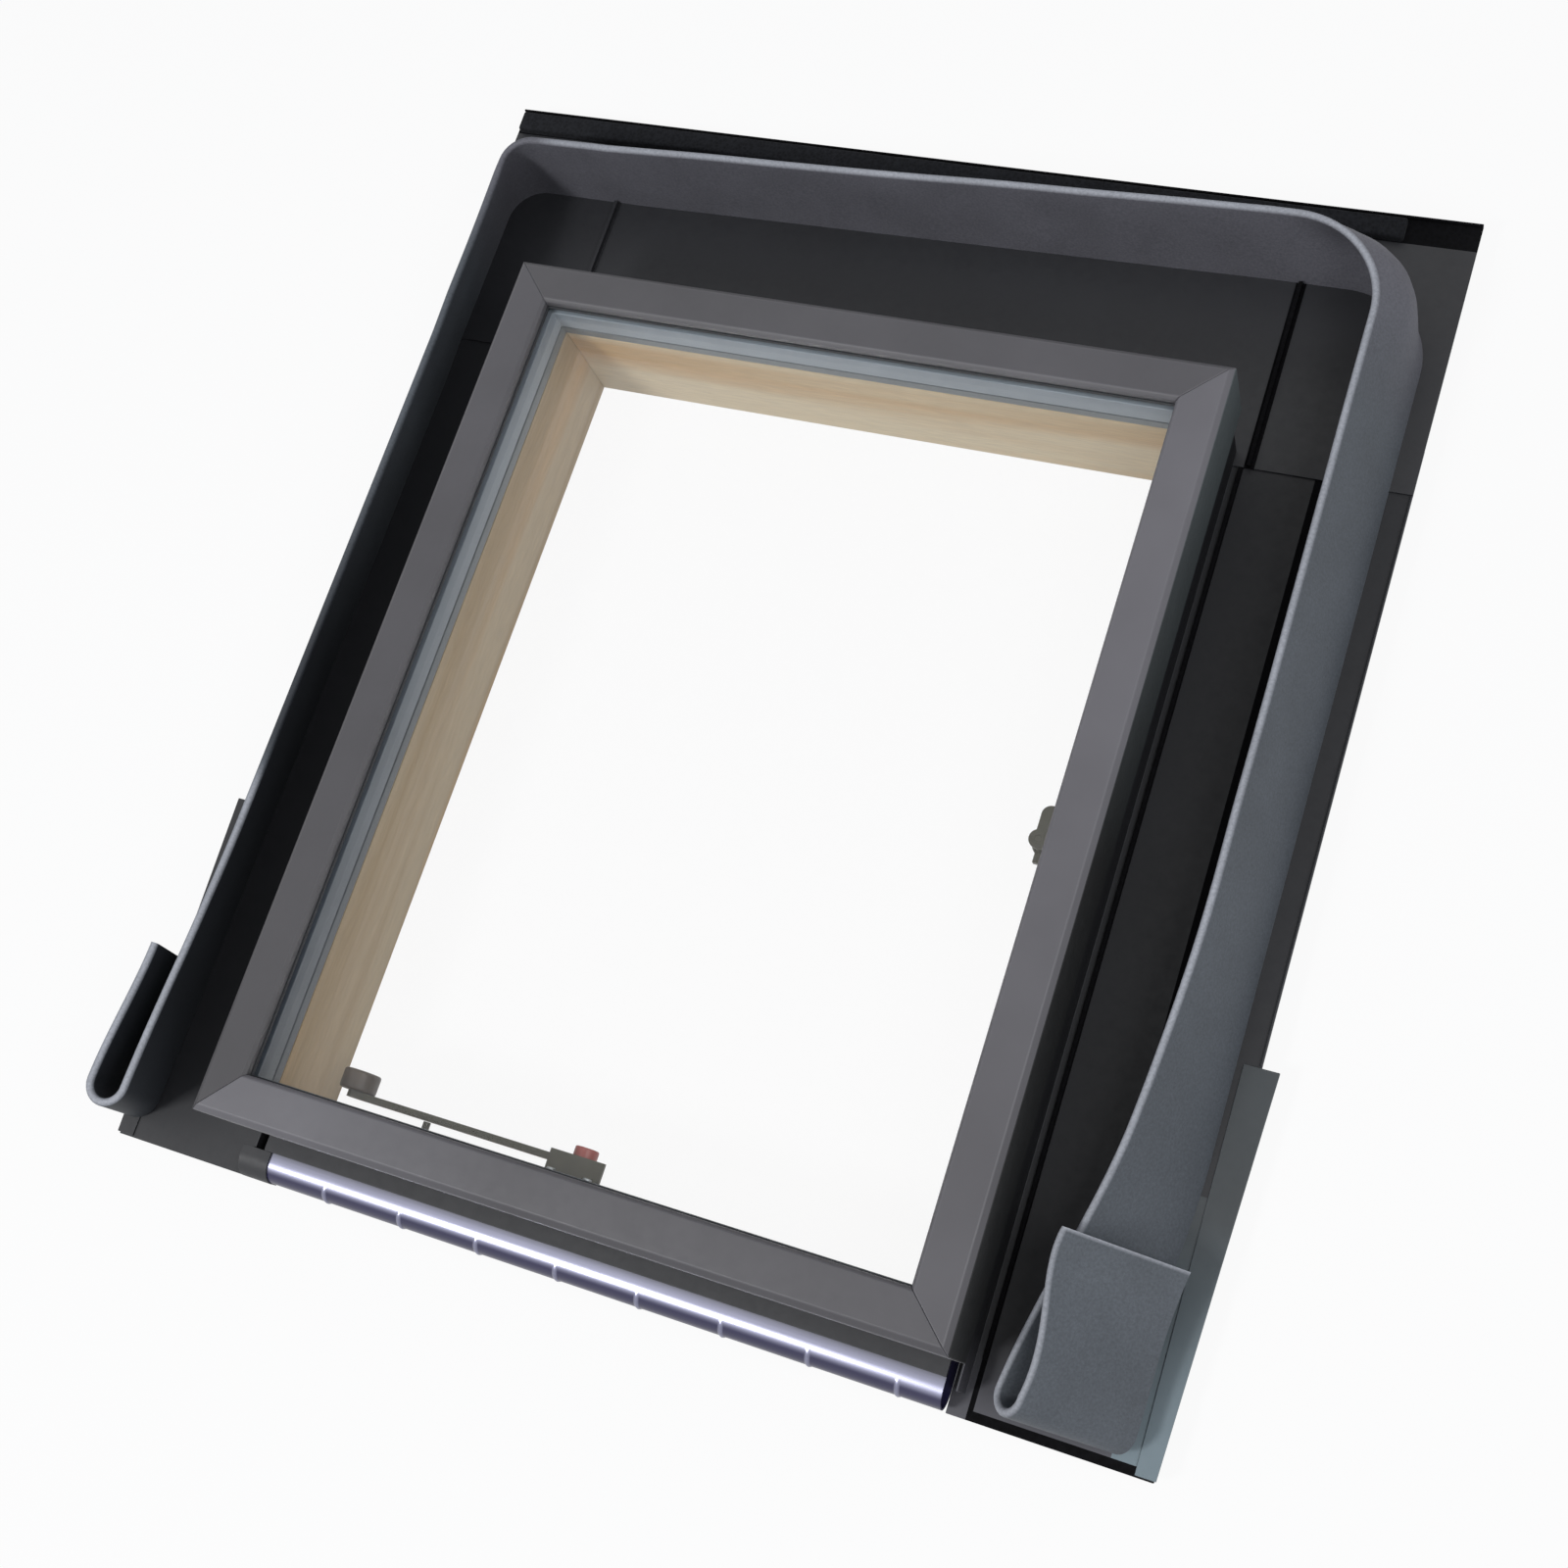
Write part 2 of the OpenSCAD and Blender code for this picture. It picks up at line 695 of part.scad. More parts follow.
// The section of the strip at one station, with a level foot and a rounded upper edge
function station_face(i) =
    let (before = stations[max(i - 1, 0)][0], after = stations[min(i + 1, len(stations) - 1)][0])
        unit(cross(after - before, stations[i][1] - stations[i][0]));
function foot_point(p, up, face, s) = p + face * s - up * (face[2] * s / up[2]);
function station_bulge(i) = len(stations[i]) > 2 ? stations[i][2] : 0;
mid_rows = [0.25, 0.5, 0.75];
function mid_points(foot, shoulder, face, bulge, s, rows) =
    [for (k = rows) mix(foot, shoulder, k) + face * (s + bulge * sin(180 * pow(k, bulge_rise)))];
function station_section(i) =
    let (foot = stations[i][0], crest = stations[i][1], face = station_face(i), half = collar_t / 2)
    let (up = unit(crest - foot), shoulder = crest - up * half, bulge = station_bulge(i))
        concat([foot_point(foot, up, face, -half), foot_point(foot, up, face, half)],
            mid_points(foot, shoulder, face, bulge, half, mid_rows),
            [shoulder + face * half, crest + face * half / 2, crest - face * half / 2, shoulder - face * half],
            mid_points(foot, shoulder, face, bulge, -half, [for (k = mid_rows) 1 - k]));

module collar() {
    n = len(stations);
    m = len(station_section(0));
    points = [for (i = [0 : n - 1]) each station_section(i)];
    sides = [for (i = [0 : n - 2]) for (j = [0 : m - 1])
        let (a = i * m + j, b = i * m + (j + 1) % m)
            each [[a, b, b + m], [a, b + m, a + m]]];
    start = [[for (j = [m - 1 : -1 : 0]) j]];
    end = [[for (j = [0 : m - 1]) (n - 1) * m + j]];
    color("lightslategray")
        about_sash()
            polyhedron(points = points, faces = concat(start, end, sides), convexity = 10);
}

// Hinges, three knuckles each: the outer two on the frame, the middle one on the sash
knuckle_len = (hinge_len - 2 * knuckle_gap) / 3;

module at_hinge(side) {
    about_sash()
        translate([axis_x, side * hinge_y, axis_z])
            children();
}

module knuckle(from) {
    rod_y(knuckle_r, from, from + knuckle_len);
}

module frame_leaf(side) {
    near = -curb_x - axis_x;
    difference() {
        at_hinge(side)
            difference() {
                union() {
                    box([near - leaf_t, -hinge_len / 2, -frame_leaf_h], [near, hinge_len / 2, -leaf_t / 2]);
                    for (from = [-hinge_len / 2, hinge_len / 2 - knuckle_len]) {
                        knuckle(from);
                        box([0, from, -knuckle_r + leaf_t / 3], [near, from + knuckle_len, -leaf_t / 2]);
                    }
                }
                rod_y(hinge_pin_r + pin_gap, -hinge_len, hinge_len);
            }
        about_sash()
            wood_screw_holes();
    }
}

module sash_leaf(side) {
    near = hinge_out;
    low = hinge_drop + leaf_t / 8;
    difference() {
        at_hinge(side)
            difference() {
                union() {
                    box([near - leaf_t, -hinge_len / 2, low], [near, hinge_len / 2, low + sash_leaf_h]);
                    box([near - leaf_t, -knuckle_len / 2, 0], [near, knuckle_len / 2, low + leaf_t]);
                    knuckle(-knuckle_len / 2);
                }
                rod_y(hinge_pin_r + pin_gap, -hinge_len, hinge_len);
            }
        about_sash()
            sash_screw_holes();
    }
}

module hinge_pin(side) {
    head_l = hinge_pin_r;
    at_hinge(side)
        union() {
            rod_y(hinge_pin_r, -hinge_len / 2 - head_l, hinge_len / 2 + head_l);
            for (from = [-hinge_len / 2 - head_l, hinge_len / 2])
                rod_y(knuckle_r - leaf_t / 2, from, from + head_l);
        }
}

module upper_hinge_frame_leaf() {
    color("gainsboro")
        frame_leaf(1);
}

module lower_hinge_frame_leaf() {
    color("gainsboro")
        frame_leaf(-1);
}

module upper_hinge_sash_leaf() {
    color("lightgray")
        sash_leaf(1);
}

module lower_hinge_sash_leaf() {
    color("lightgray")
        sash_leaf(-1);
}

module upper_hinge_pin() {
    color("white")
        hinge_pin(1);
}

module lower_hinge_pin() {
    color("white")
        hinge_pin(-1);
}

// Sash
module sash_section() {
    polygon([[0, z_skirt], [0, z_top - face_fall - face_chamfer], [face_chamfer, z_top - face_fall],
        [ring_w - lip_chamfer, z_top], [ring_w, z_top - lip_chamfer], [ring_w, z_lip], [wall_t, z_lip],
        [wall_t, z_bead], [skirt_t, z_bead], [skirt_t, z_skirt]]);
}

module sash_bar(turn, length, out) {
    about_sash()
        difference() {
            rotate([0, 0, turn])
                translate([0, -out, 0])
                    mitred_bar(length, ring_w, z_skirt, z_top)
                        sash_section();
            sash_screw_holes();
        }
}

module sash_bottom_rail() {
    color("gray")
        sash_bar(0, sash_w, sash_y);
}

module sash_top_rail() {
    color("gray")
        sash_bar(180, sash_w, sash_y);
}

module sash_right_stile() {
    color("darkgray")
        sash_bar(90, sash_h, sash_x);
}

module sash_left_stile() {
    color("darkgray")
        sash_bar(-90, sash_h, sash_x);
}

module bead(turn, length, out) {
    about_sash()
        difference() {
            rotate([0, 0, turn])
                translate([0, -out, 0])
                    mitred_bar(length, ring_w, z_bead, z_inner)
                        translate([wall_t, z_bead])
                            square([ring_w - wall_t, bead_h]);
            sash_screw_holes();
        }
}

module bead_bottom() {
    color("lightsteelblue")
        bead(0, sash_w, sash_y);
}

module bead_top() {
    color("lightsteelblue")
        bead(180, sash_w, sash_y);
}

module bead_right() {
    color("lightsteelblue")
        bead(90, sash_h, sash_x);
}

module bead_left() {
    color("lightsteelblue")
        bead(-90, sash_h, sash_x);
}

// Glazing
module pane(low) {
    about_sash()
        box([-glass_x, -glass_y, low], [glass_x, glass_y, low + pane_t]);
}

module glass_outer() {
    color("lightblue", 0.4)
        pane(z_outer);
}

module glass_inner() {
    color("lightblue", 0.4)
        pane(z_inner);
}

module spacer() {
    color("steelblue")
        about_sash()
            flat_ring(face_x - spacer_reveal + spacer_w, face_y - spacer_reveal + spacer_w, spacer_w,
                z_spacer, z_outer);
}

module glazing_seal() {
    color("black")
        about_sash()
            flat_ring(face_x - seal_reveal + glazing_seal_w, face_y - seal_reveal + glazing_seal_w,
                glazing_seal_w, z_glazing_seal, z_lip);
}

// Stay: a perforated bar on the lower rail of the sash, and its peg on the frame
module at_stay() {
    about_sash()
        translate([-stay_x, 0, stay_z])
            children();
}

module stay_bracket() {
    back = -face_y;
    front = back + plate_t;
    shelf_z = stay_eye_r + knuckle_gap;
    color("silver")
        difference() {
            at_stay()
                difference() {
                    union() {
                        box([-bracket_w / 2, back, -stay_eye_r], [bracket_w / 2, front, z_inner - stay_z]);
                        box([-bracket_w / 2, back, shelf_z], [bracket_w / 2, back + shelf_w, shelf_z + plate_t]);
                        rod_y(stay_eye_r - 1, back, stay_back_y - knuckle_gap);
                    }
                    rod_y(stay_pin_r, back - cut, stay_back_y);
                }
            about_sash()
                sash_screw_holes();
        }
}

module stay_pin() {
    color("white")
        at_stay()
            rod_y(stay_pin_r - pin_gap, -face_y, stay_front_y + knuckle_gap + cap_t / 2);
}

module stay_cap() {
    from = stay_front_y + knuckle_gap;
    color("firebrick")
        at_stay()
            difference() {
                rod_y(cap_r, from, from + cap_t);
                rod_y(stay_pin_r, from - cut, from + cap_t / 2);
            }
}

module stay_bar() {
    reach = stay_grip_x;
    color("darkkhaki")
        at_stay()
            difference() {
                union() {
                    rod_y(stay_eye_r, stay_back_y, stay_front_y);
                    box([-reach, stay_back_y, -stay_h / 2], [0, stay_front_y, stay_h / 2]);
                    translate([-reach, 0, 0])
                        rod_y(stay_h / 2, stay_back_y, stay_front_y);
                }
                rod_y(stay_pin_r, stay_back_y - cut, stay_front_y + cut);
                for (i = [0 : stay_holes - 1])
                    translate([-stay_first - i * stay_pitch, 0, 0])
                        rod_y(peg_r + knuckle_gap, stay_back_y - cut, stay_front_y + cut);
            }
}

module stay_grip() {
    color("sienna")
        at_stay()
            translate([-stay_grip_x, 0, 0])
                rod_y(grip_r, stay_front_y, stay_front_y + grip_len);
}

module stay_peg() {
    color("silver")
        difference() {
            about_sash()
                translate([peg_x, -hole_y, stay_z])
                    union() {
                        box([-plate_w / 2, 0, -stay_eye_r], [plate_w / 2, plate_t, stay_eye_r]);
                        rod_y(peg_r, 0, plate_t + peg_len);
                    }
            about_sash()
                wood_screw_holes();
        }
}

// Catch: a lever under the right side of the sash that turns below a ledge on the frame
module at_catch() {
    about_sash()
        translate([catch_x, catch_y, 0])
            children();
}

module catch_base() {
    reach = face_x - catch_x;
    color("silver")
        difference() {
            at_catch()
                difference() {
                    union() {
                        box([reach - plate_t, -plate_w / 2, base_z], [reach, plate_w / 2, z_inner]);
                        box([0, -lever_w / 2, base_z], [reach, lever_w / 2, base_z + plate_t]);
                        translate([0, 0, base_z])
                            cylinder(r = lever_w / 2, h = plate_t);
                    }
                    translate([0, 0, base_z - cut])
                        cylinder(r = catch_pin_r, h = plate_t + 2 * cut);
                }
            about_sash()
                sash_screw_holes();
        }
}

module catch_pin() {
    color("white")
        at_catch()
            union() {
                translate([0, 0, lever_z - knuckle_gap])
                    cylinder(r = catch_pin_r - pin_gap, h = base_z + plate_t - lever_z + knuckle_gap);
                translate([0, 0, lever_z - knuckle_gap - head_h])
                    cylinder(r = 2 * catch_pin_r, h = head_h);
                translate([0, 0, lever_z + lever_t + knuckle_gap])
                    cylinder(r = 2 * catch_pin_r, h = base_z - lever_z - lever_t - knuckle_gap);
            }
}

module catch_lever() {
    half = lever_w / 2;
    color("darkkhaki")
        at_catch()
            difference() {
                translate([0, 0, lever_z])
                    linear_extrude(lever_t)
                        union() {
                            circle(half);
                            translate([-half, 0])
                                square([lever_w, lever_len - half]);
                            translate([0, lever_len - half])
                                circle(half);
                            translate([-half / 2, -nose_len])
                                square([half, nose_len]);
                        }
                translate([0, 0, lever_z - cut])
                    cylinder(r = catch_pin_r, h = lever_t + 2 * cut);
            }
}

module catch_keeper() {
    ledge_low = lever_z + lever_t + nose_gap;
    color("silver")
        difference() {
            about_sash()
                translate([hole_x, catch_y, 0])
                    union() {
                        box([-plate_t, -plate_w / 2, lever_z - lever_w], [0, plate_w / 2, ledge_low + keeper_t]);
                        box([-ledge_len, -lever_w, ledge_low], [0, lever_w, ledge_low + keeper_t]);
                    }
            about_sash()
                wood_screw_holes();
        }
}

// Screws: each place is a point on the bearing face and the way the shank points
screw_off = plate_w / 2 - head_r - 1;
hinge_screw_off = hinge_len / 2 - 2 * head_r;
wood_screws = concat(
    [for (side = [-1, 1]) for (s = [-1, 1])
        [[-curb_x - leaf_t, side * hinge_y + s * hinge_screw_off, axis_z - frame_leaf_h / 2 - head_r], [1, 0, 0]]],
    [for (s = [-1, 1]) [[peg_x + s * screw_off, -hole_y + plate_t, stay_z], [0, -1, 0]]],
    [for (s = [-1, 1]) [[hole_x - plate_t, catch_y + s * screw_off, lever_z - lever_w / 2], [1, 0, 0]]]);
sash_screw_places = concat(
    [for (side = [-1, 1]) for (s = [-1, 1])
        [[-sash_x - leaf_t, side * hinge_y + s * hinge_screw_off, axis_z + sash_leaf_h - head_r], [1, 0, 0]]],
    [for (s = [-1, 1]) [[-stay_x + s * screw_off, -face_y + plate_t, bead_mid_z], [0, -1, 0]]],
    [for (s = [-1, 1]) [[face_x - plate_t, catch_y + s * screw_off, bead_mid_z], [1, 0, 0]]]);

module along(way) {
    rotate(way[0] > 0 ? [0, 90, 0] : [90, 0, 0])
        children();
}

module screws(places, length) {
    about_sash()
        for (place = places)
            translate(place[0])
                along(place[1]) {
                    cylinder(r = screw_r, h = length);
                    translate([0, 0, -head_h])
                        cylinder(r = head_r, h = head_h);
                }
}

module screw_holes(places, length) {
    for (place = places)
        translate(place[0])
            along(place[1])
                translate([0, 0, -head_h])
                    cylinder(r = screw_r + screw_gap, h = length + head_h + screw_gap);
}

module wood_screw_holes() {
    screw_holes(wood_screws, wood_screw_len);
}

module sash_screw_holes() {
    screw_holes(sash_screw_places, sash_screw_len);
}

module frame_screws() {
    color("white")
        screws(wood_screws, wood_screw_len);
}

module sash_screws() {
    color("white")
        screws(sash_screw_places, sash_screw_len);
}

pine_top_rail();
pine_bottom_rail();
pine_left_stile();
pine_right_stile();
frame_seal();
flashing_top();
flashing_left();
flashing_right();
flashing_sill();
apron();
corner_cap();
wing_left();
wing_right();
collar();
foam_strip();
upper_hinge_frame_leaf();
lower_hinge_frame_leaf();
upper_hinge_pin();
lower_hinge_pin();
stay_peg();
catch_keeper();
frame_screws();
sash_top_rail();
sash_bottom_rail();
sash_left_stile();
sash_right_stile();
bead_top();
bead_bottom();
bead_left();
bead_right();
glazing_seal();
glass_outer();
spacer();
glass_inner();
upper_hinge_sash_leaf();
lower_hinge_sash_leaf();
stay_bracket();
stay_pin();
stay_cap();
catch_base();
catch_pin();
sash_screws();
stay_bar();
stay_grip();
catch_lever();
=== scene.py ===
# %% [markdown]
# # A roof skylight, dressed for its portrait
#
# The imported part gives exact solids: a pine frame, a hinged metal sash with two panes, folded
# flashing and a flexible collar that stands round it. This lesson keeps every one of them in its
# place and gives it what a drawing leaves out: rounded edges, wood grain, coatings, rubber and light.

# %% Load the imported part
import json
import math

import bmesh
import bpy
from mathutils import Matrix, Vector, noise

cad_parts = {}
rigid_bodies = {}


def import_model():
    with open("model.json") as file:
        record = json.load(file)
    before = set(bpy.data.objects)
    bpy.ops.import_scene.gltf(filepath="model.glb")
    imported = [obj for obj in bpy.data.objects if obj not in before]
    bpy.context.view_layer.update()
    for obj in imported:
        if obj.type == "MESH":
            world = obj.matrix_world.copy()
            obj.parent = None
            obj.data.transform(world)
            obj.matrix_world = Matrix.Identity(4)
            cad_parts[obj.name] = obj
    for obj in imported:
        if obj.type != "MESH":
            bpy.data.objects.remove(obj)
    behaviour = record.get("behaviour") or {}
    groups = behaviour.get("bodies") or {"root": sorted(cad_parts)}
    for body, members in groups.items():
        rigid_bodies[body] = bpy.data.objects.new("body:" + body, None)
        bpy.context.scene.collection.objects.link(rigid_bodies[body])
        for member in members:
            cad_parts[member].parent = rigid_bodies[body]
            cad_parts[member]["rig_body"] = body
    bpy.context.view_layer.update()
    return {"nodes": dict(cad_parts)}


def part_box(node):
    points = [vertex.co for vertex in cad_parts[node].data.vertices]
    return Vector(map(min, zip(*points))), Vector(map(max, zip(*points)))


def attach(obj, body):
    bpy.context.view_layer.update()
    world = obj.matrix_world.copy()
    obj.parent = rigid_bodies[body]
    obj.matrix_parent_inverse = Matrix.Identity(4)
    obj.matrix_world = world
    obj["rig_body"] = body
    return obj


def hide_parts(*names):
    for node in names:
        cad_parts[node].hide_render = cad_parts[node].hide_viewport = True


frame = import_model()
MM = 0.001

# %% [markdown]
# ## Camera
#
# The portrait looks down on the skylight from its lower right corner. The lens and the three angles
# come from the straight edges of the sash, which is a true rectangle, so one set of numbers is enough
# and nothing has to be pulled into line afterwards.

# %% Camera
LENS_MM, SENSOR_MM = 47.52, 36
EYE_PLACE = (0.4447, -0.3621, 1.1559)
EYE_TURN = (19.655, 15.207, 18.547)

eye = bpy.data.cameras.new("portrait_camera")
eye.lens = LENS_MM
eye.sensor_width = SENSOR_MM
camera = bpy.data.objects.new("portrait_camera", eye)
camera.location = EYE_PLACE
camera.rotation_euler = [math.radians(a) for a in EYE_TURN]
bpy.context.scene.collection.objects.link(camera)
bpy.context.scene.camera = camera
print("camera stands", round(camera.location.z, 3), "m above the floor")

# %% [markdown]
# ## Helpers for finishes
#
# A finish is a small graph of nodes. One function turns a colour as painters write it (sRGB) into the
# linear values that light needs, and one adds a node: an input that is given a socket is linked, and
# any other value is set. Patterns read Object coordinates, which are metres here, so a grain of 2 mm
# is a noise of scale 1 / 0.002.

# %% Colour and node helpers
def paint(hex_colour):
    parts = [int(hex_colour[i:i + 2], 16) / 255 for i in (1, 3, 5)]
    return [p / 12.92 if p <= 0.04045 else ((p + 0.055) / 1.055) ** 2.4 for p in parts] + [1]


def add(finish, kind, inputs=None, **settings):
    made = finish.node_tree.nodes.new(kind)
    for key, value in settings.items():
        setattr(made, key, value)
    for key, value in (inputs or {}).items():
        if isinstance(value, bpy.types.NodeSocket):
            finish.node_tree.links.new(value, made.inputs[key])
        else:
            made.inputs[key].default_value = value
    return made


def start_finish(name):
    finish = bpy.data.materials.new(name)
    finish.use_nodes = True
    finish.node_tree.nodes.clear()
    return finish


def per_mm(size):
    return 1 / (size * MM)


WHITE = (1, 1, 1, 1)
print("a painter's middle grey is", round(paint("#808080")[0], 3), "of white in linear light")

# %% [markdown]
# ## Floor, sky and lamps
#
# The skylight lies on a pale studio floor. Stronger lamps could make that floor white, but they would
# bleach the pine as well. So rays that come from the eye, straight or by way of metal and glass, see
# floor and sky as flat white, and the floor keeps a share of real shading for the soft shadow. All
# other rays see a matt floor and a plain even sky. One lamp stands high at the front left and throws
# the shade into the gutters, and a wider, weaker one at the right keeps the outside of the collar
# readable.

# %% Floor
# Two lengths in metres, and the share of flat white in what the eye sees of the floor.
FLOOR_HALF, FLOOR_DROP, FLAT_WHITE = 6, 0.0003, 0.92


def looked_at(finish):
    rays = add(finish, "ShaderNodeLightPath").outputs
    seen = add(finish, "ShaderNodeMath", {0: rays["Is Camera Ray"], 1: rays["Is Glossy Ray"]},
        operation="ADD", use_clamp=True).outputs[0]
    return add(finish, "ShaderNodeMath", {0: seen, 1: rays["Is Transmission Ray"]},
        operation="ADD", use_clamp=True).outputs[0]


floor_paint = start_finish("pale studio floor")
share = add(floor_paint, "ShaderNodeMath", {0: looked_at(floor_paint), 1: FLAT_WHITE}, operation="MULTIPLY")
matt = add(floor_paint, "ShaderNodeBsdfDiffuse", {"Color": paint("#C8C8CA")})
glow = add(floor_paint, "ShaderNodeEmission", {"Color": WHITE, "Strength": 1.0})
both = add(floor_paint, "ShaderNodeMixShader", {0: share.outputs[0], 1: matt.outputs[0], 2: glow.outputs[0]})
add(floor_paint, "ShaderNodeOutputMaterial", {"Surface": both.outputs[0]})

bm = bmesh.new()
bmesh.ops.create_grid(bm, x_segments=1, y_segments=1, size=FLOOR_HALF)
bmesh.ops.translate(bm, verts=bm.verts, vec=(0, 0, -FLOOR_DROP))
floor_mesh = bpy.data.meshes.new("studio_floor")
bm.to_mesh(floor_mesh)
bm.free()
floor_mesh.materials.append(floor_paint)
studio_floor = bpy.data.objects.new("studio_floor", floor_mesh)
bpy.context.scene.collection.objects.link(studio_floor)
print("floor", floor_mesh.vertices[0].co.x * -2, "m wide")

# %% Sky and lamps
SKY_LIGHT = 0.46

bpy.context.scene.view_settings.view_transform = "Standard"
sky = bpy.data.worlds.new("even_sky")
bpy.context.scene.world = sky
sky.use_nodes = True
sky.node_tree.nodes.clear()
even = add(sky, "ShaderNodeBackground", {"Color": paint("#F4F7FF"), "Strength": SKY_LIGHT})
white = add(sky, "ShaderNodeBackground", {"Color": WHITE, "Strength": 1.0})
both = add(sky, "ShaderNodeMixShader", {0: looked_at(sky), 1: even.outputs[0], 2: white.outputs[0]})
add(sky, "ShaderNodeOutputWorld", {"Surface": both.outputs[0]})


def soft_lamp(name, place, size, watts):
    lamp = bpy.data.lights.new(name, "AREA")
    lamp.shape = "SQUARE"
    lamp.size = size
    lamp.energy = watts
    holder = bpy.data.objects.new(name, lamp)
    holder.location = place
    holder.rotation_euler = (-Vector(place)).to_track_quat("-Z", "Y").to_euler()
    bpy.context.scene.collection.objects.link(holder)


soft_lamp("key_lamp", place=(-0.85, -1.25, 1.9), size=0.45, watts=29)
soft_lamp("side_lamp", place=(1.15, -0.3, 1.65), size=0.8, watts=14)

# %% [markdown]
# ## Pine
#
# The frame is planed softwood with a clear matt seal. Stretched noise could stand for its grain, but a
# board is cut out of a round trunk, so its lines are slices through rings round a far axis: the Wave
# texture draws such rings, stretched along the board. Fine fibres lie over them, with a few warm
# patches of resin. Boards along X and along Y share one recipe, turned by a Mapping node.

# %% Pine finishes
# Real fibres are finer than 0.1 mm; they are drawn 0.7 mm wide so that they show at this distance.
RING_MM, FIBRE_MM, FIBRE_LENGTH_MM, RESIN_MM, FIBRE_DEPTH_MM = 5.5, 0.7, 14, 38, 0.15
RING_STRETCH = 0.05


def planed_pine(name, turn, heart, early_wood, late_wood):
    pine = start_finish(name)
    spot = add(pine, "ShaderNodeTexCoord").outputs["Object"]
    along = add(pine, "ShaderNodeMapping", {"Vector": spot, "Rotation": (0, 0, turn)}).outputs[0]
    board = add(pine, "ShaderNodeMapping", {"Vector": along, "Location": heart,
        "Scale": (RING_STRETCH, 1, 1)}).outputs[0]
    # A ring wave repeats every tau / 20 units, so this scale makes rings of RING_MM.
    rings = add(pine, "ShaderNodeTexWave", {"Vector": board, "Scale": math.tau / 20 * per_mm(RING_MM),
        "Distortion": 5.0, "Detail": 2.0, "Detail Scale": 0.6}, wave_type="RINGS",
        rings_direction="X", wave_profile="SIN").outputs["Fac"]
    # Late wood is a narrow dark line in each ring, so the wave is sharpened and then weakened.
    late = add(pine, "ShaderNodeMath", {0: rings, 1: 2.2}, operation="POWER").outputs[0]
    late = add(pine, "ShaderNodeMath", {0: late, 1: 0.55}, operation="MULTIPLY").outputs[0]
    fibre_map = add(pine, "ShaderNodeMapping", {"Vector": along,
        "Scale": (per_mm(FIBRE_LENGTH_MM), per_mm(FIBRE_MM), per_mm(FIBRE_MM))}).outputs[0]
    fibres = add(pine, "ShaderNodeTexNoise", {"Vector": fibre_map, "Scale": 1.0, "Detail": 3.0}).outputs[0]
    resin = add(pine, "ShaderNodeTexNoise", {"Vector": board, "Scale": per_mm(RESIN_MM),
        "Detail": 2.0}).outputs[0]
    resin = add(pine, "ShaderNodeMapRange", {"Value": resin, "From Min": 0.52,
        "From Max": 0.78}).outputs[0]
    wood = add(pine, "ShaderNodeMix", {0: late, 6: paint(early_wood), 7: paint(late_wood)},
        data_type="RGBA").outputs[2]
    wood = add(pine, "ShaderNodeMix", {0: resin, 6: wood, 7: paint("#CFA05C")},
        data_type="RGBA").outputs[2]
    shade = add(pine, "ShaderNodeMapRange", {"Value": fibres, "From Min": 0.3, "From Max": 0.7,
        "To Min": 0.86, "To Max": 1.06}).outputs[0]
    wood = add(pine, "ShaderNodeVectorMath", {0: wood, "Scale": shade}, operation="SCALE").outputs[0]
    lift = add(pine, "ShaderNodeBump", {"Height": fibres, "Strength": 0.25,
        "Distance": FIBRE_DEPTH_MM * MM}).outputs[0]
    shader = add(pine, "ShaderNodeBsdfPrincipled", {"Base Color": wood, "Roughness": 0.52, "IOR": 1.5,
        "Normal": lift})
    add(pine, "ShaderNodeOutputMaterial", {"Surface": shader.outputs[0]})
    return pine


# Pale wood with soft straw lines; the boards up the slope are painted greyer and darker as painted shade.
pine_across = planed_pine("planed pine, boards across", turn=0.0, heart=(0.0, 0.05, -0.04),
    early_wood="#E9D9B8", late_wood="#CDA871")
pine_upright = planed_pine("planed pine, boards up the slope", turn=math.pi / 2, heart=(0.0, -0.03, -0.05),
    early_wood="#C4B18F", late_wood="#A58657")
print("pine finishes:", pine_across.name, "/", pine_upright.name)

# %% [markdown]
# ## Coated sheet
#
# Sash, beads, flashing and wings are thin aluminium with a baked coating or an anodised skin. It is
# slightly uneven like the skin of an orange, a little cloudy, and rubbed lighter along the edges. The
# edge wear could be guessed from how sharply a surface turns, but it is steadier to read an attribute
# named `edge`, which the modelling step below writes on rounded edges. A second colour can come in
# along X or Y: one argument names the axis, where the change starts and ends in metres, and the late
# colour. On the sash rails, the side of the sash and the spacer it is painted light and shade; on the
# other sheets the tone simply changes towards one end.

# %% Coated sheet recipe
CLOUD_MM, SCUFF_MM, PEEL_DEPTH_MM = 70, 6, 0.08


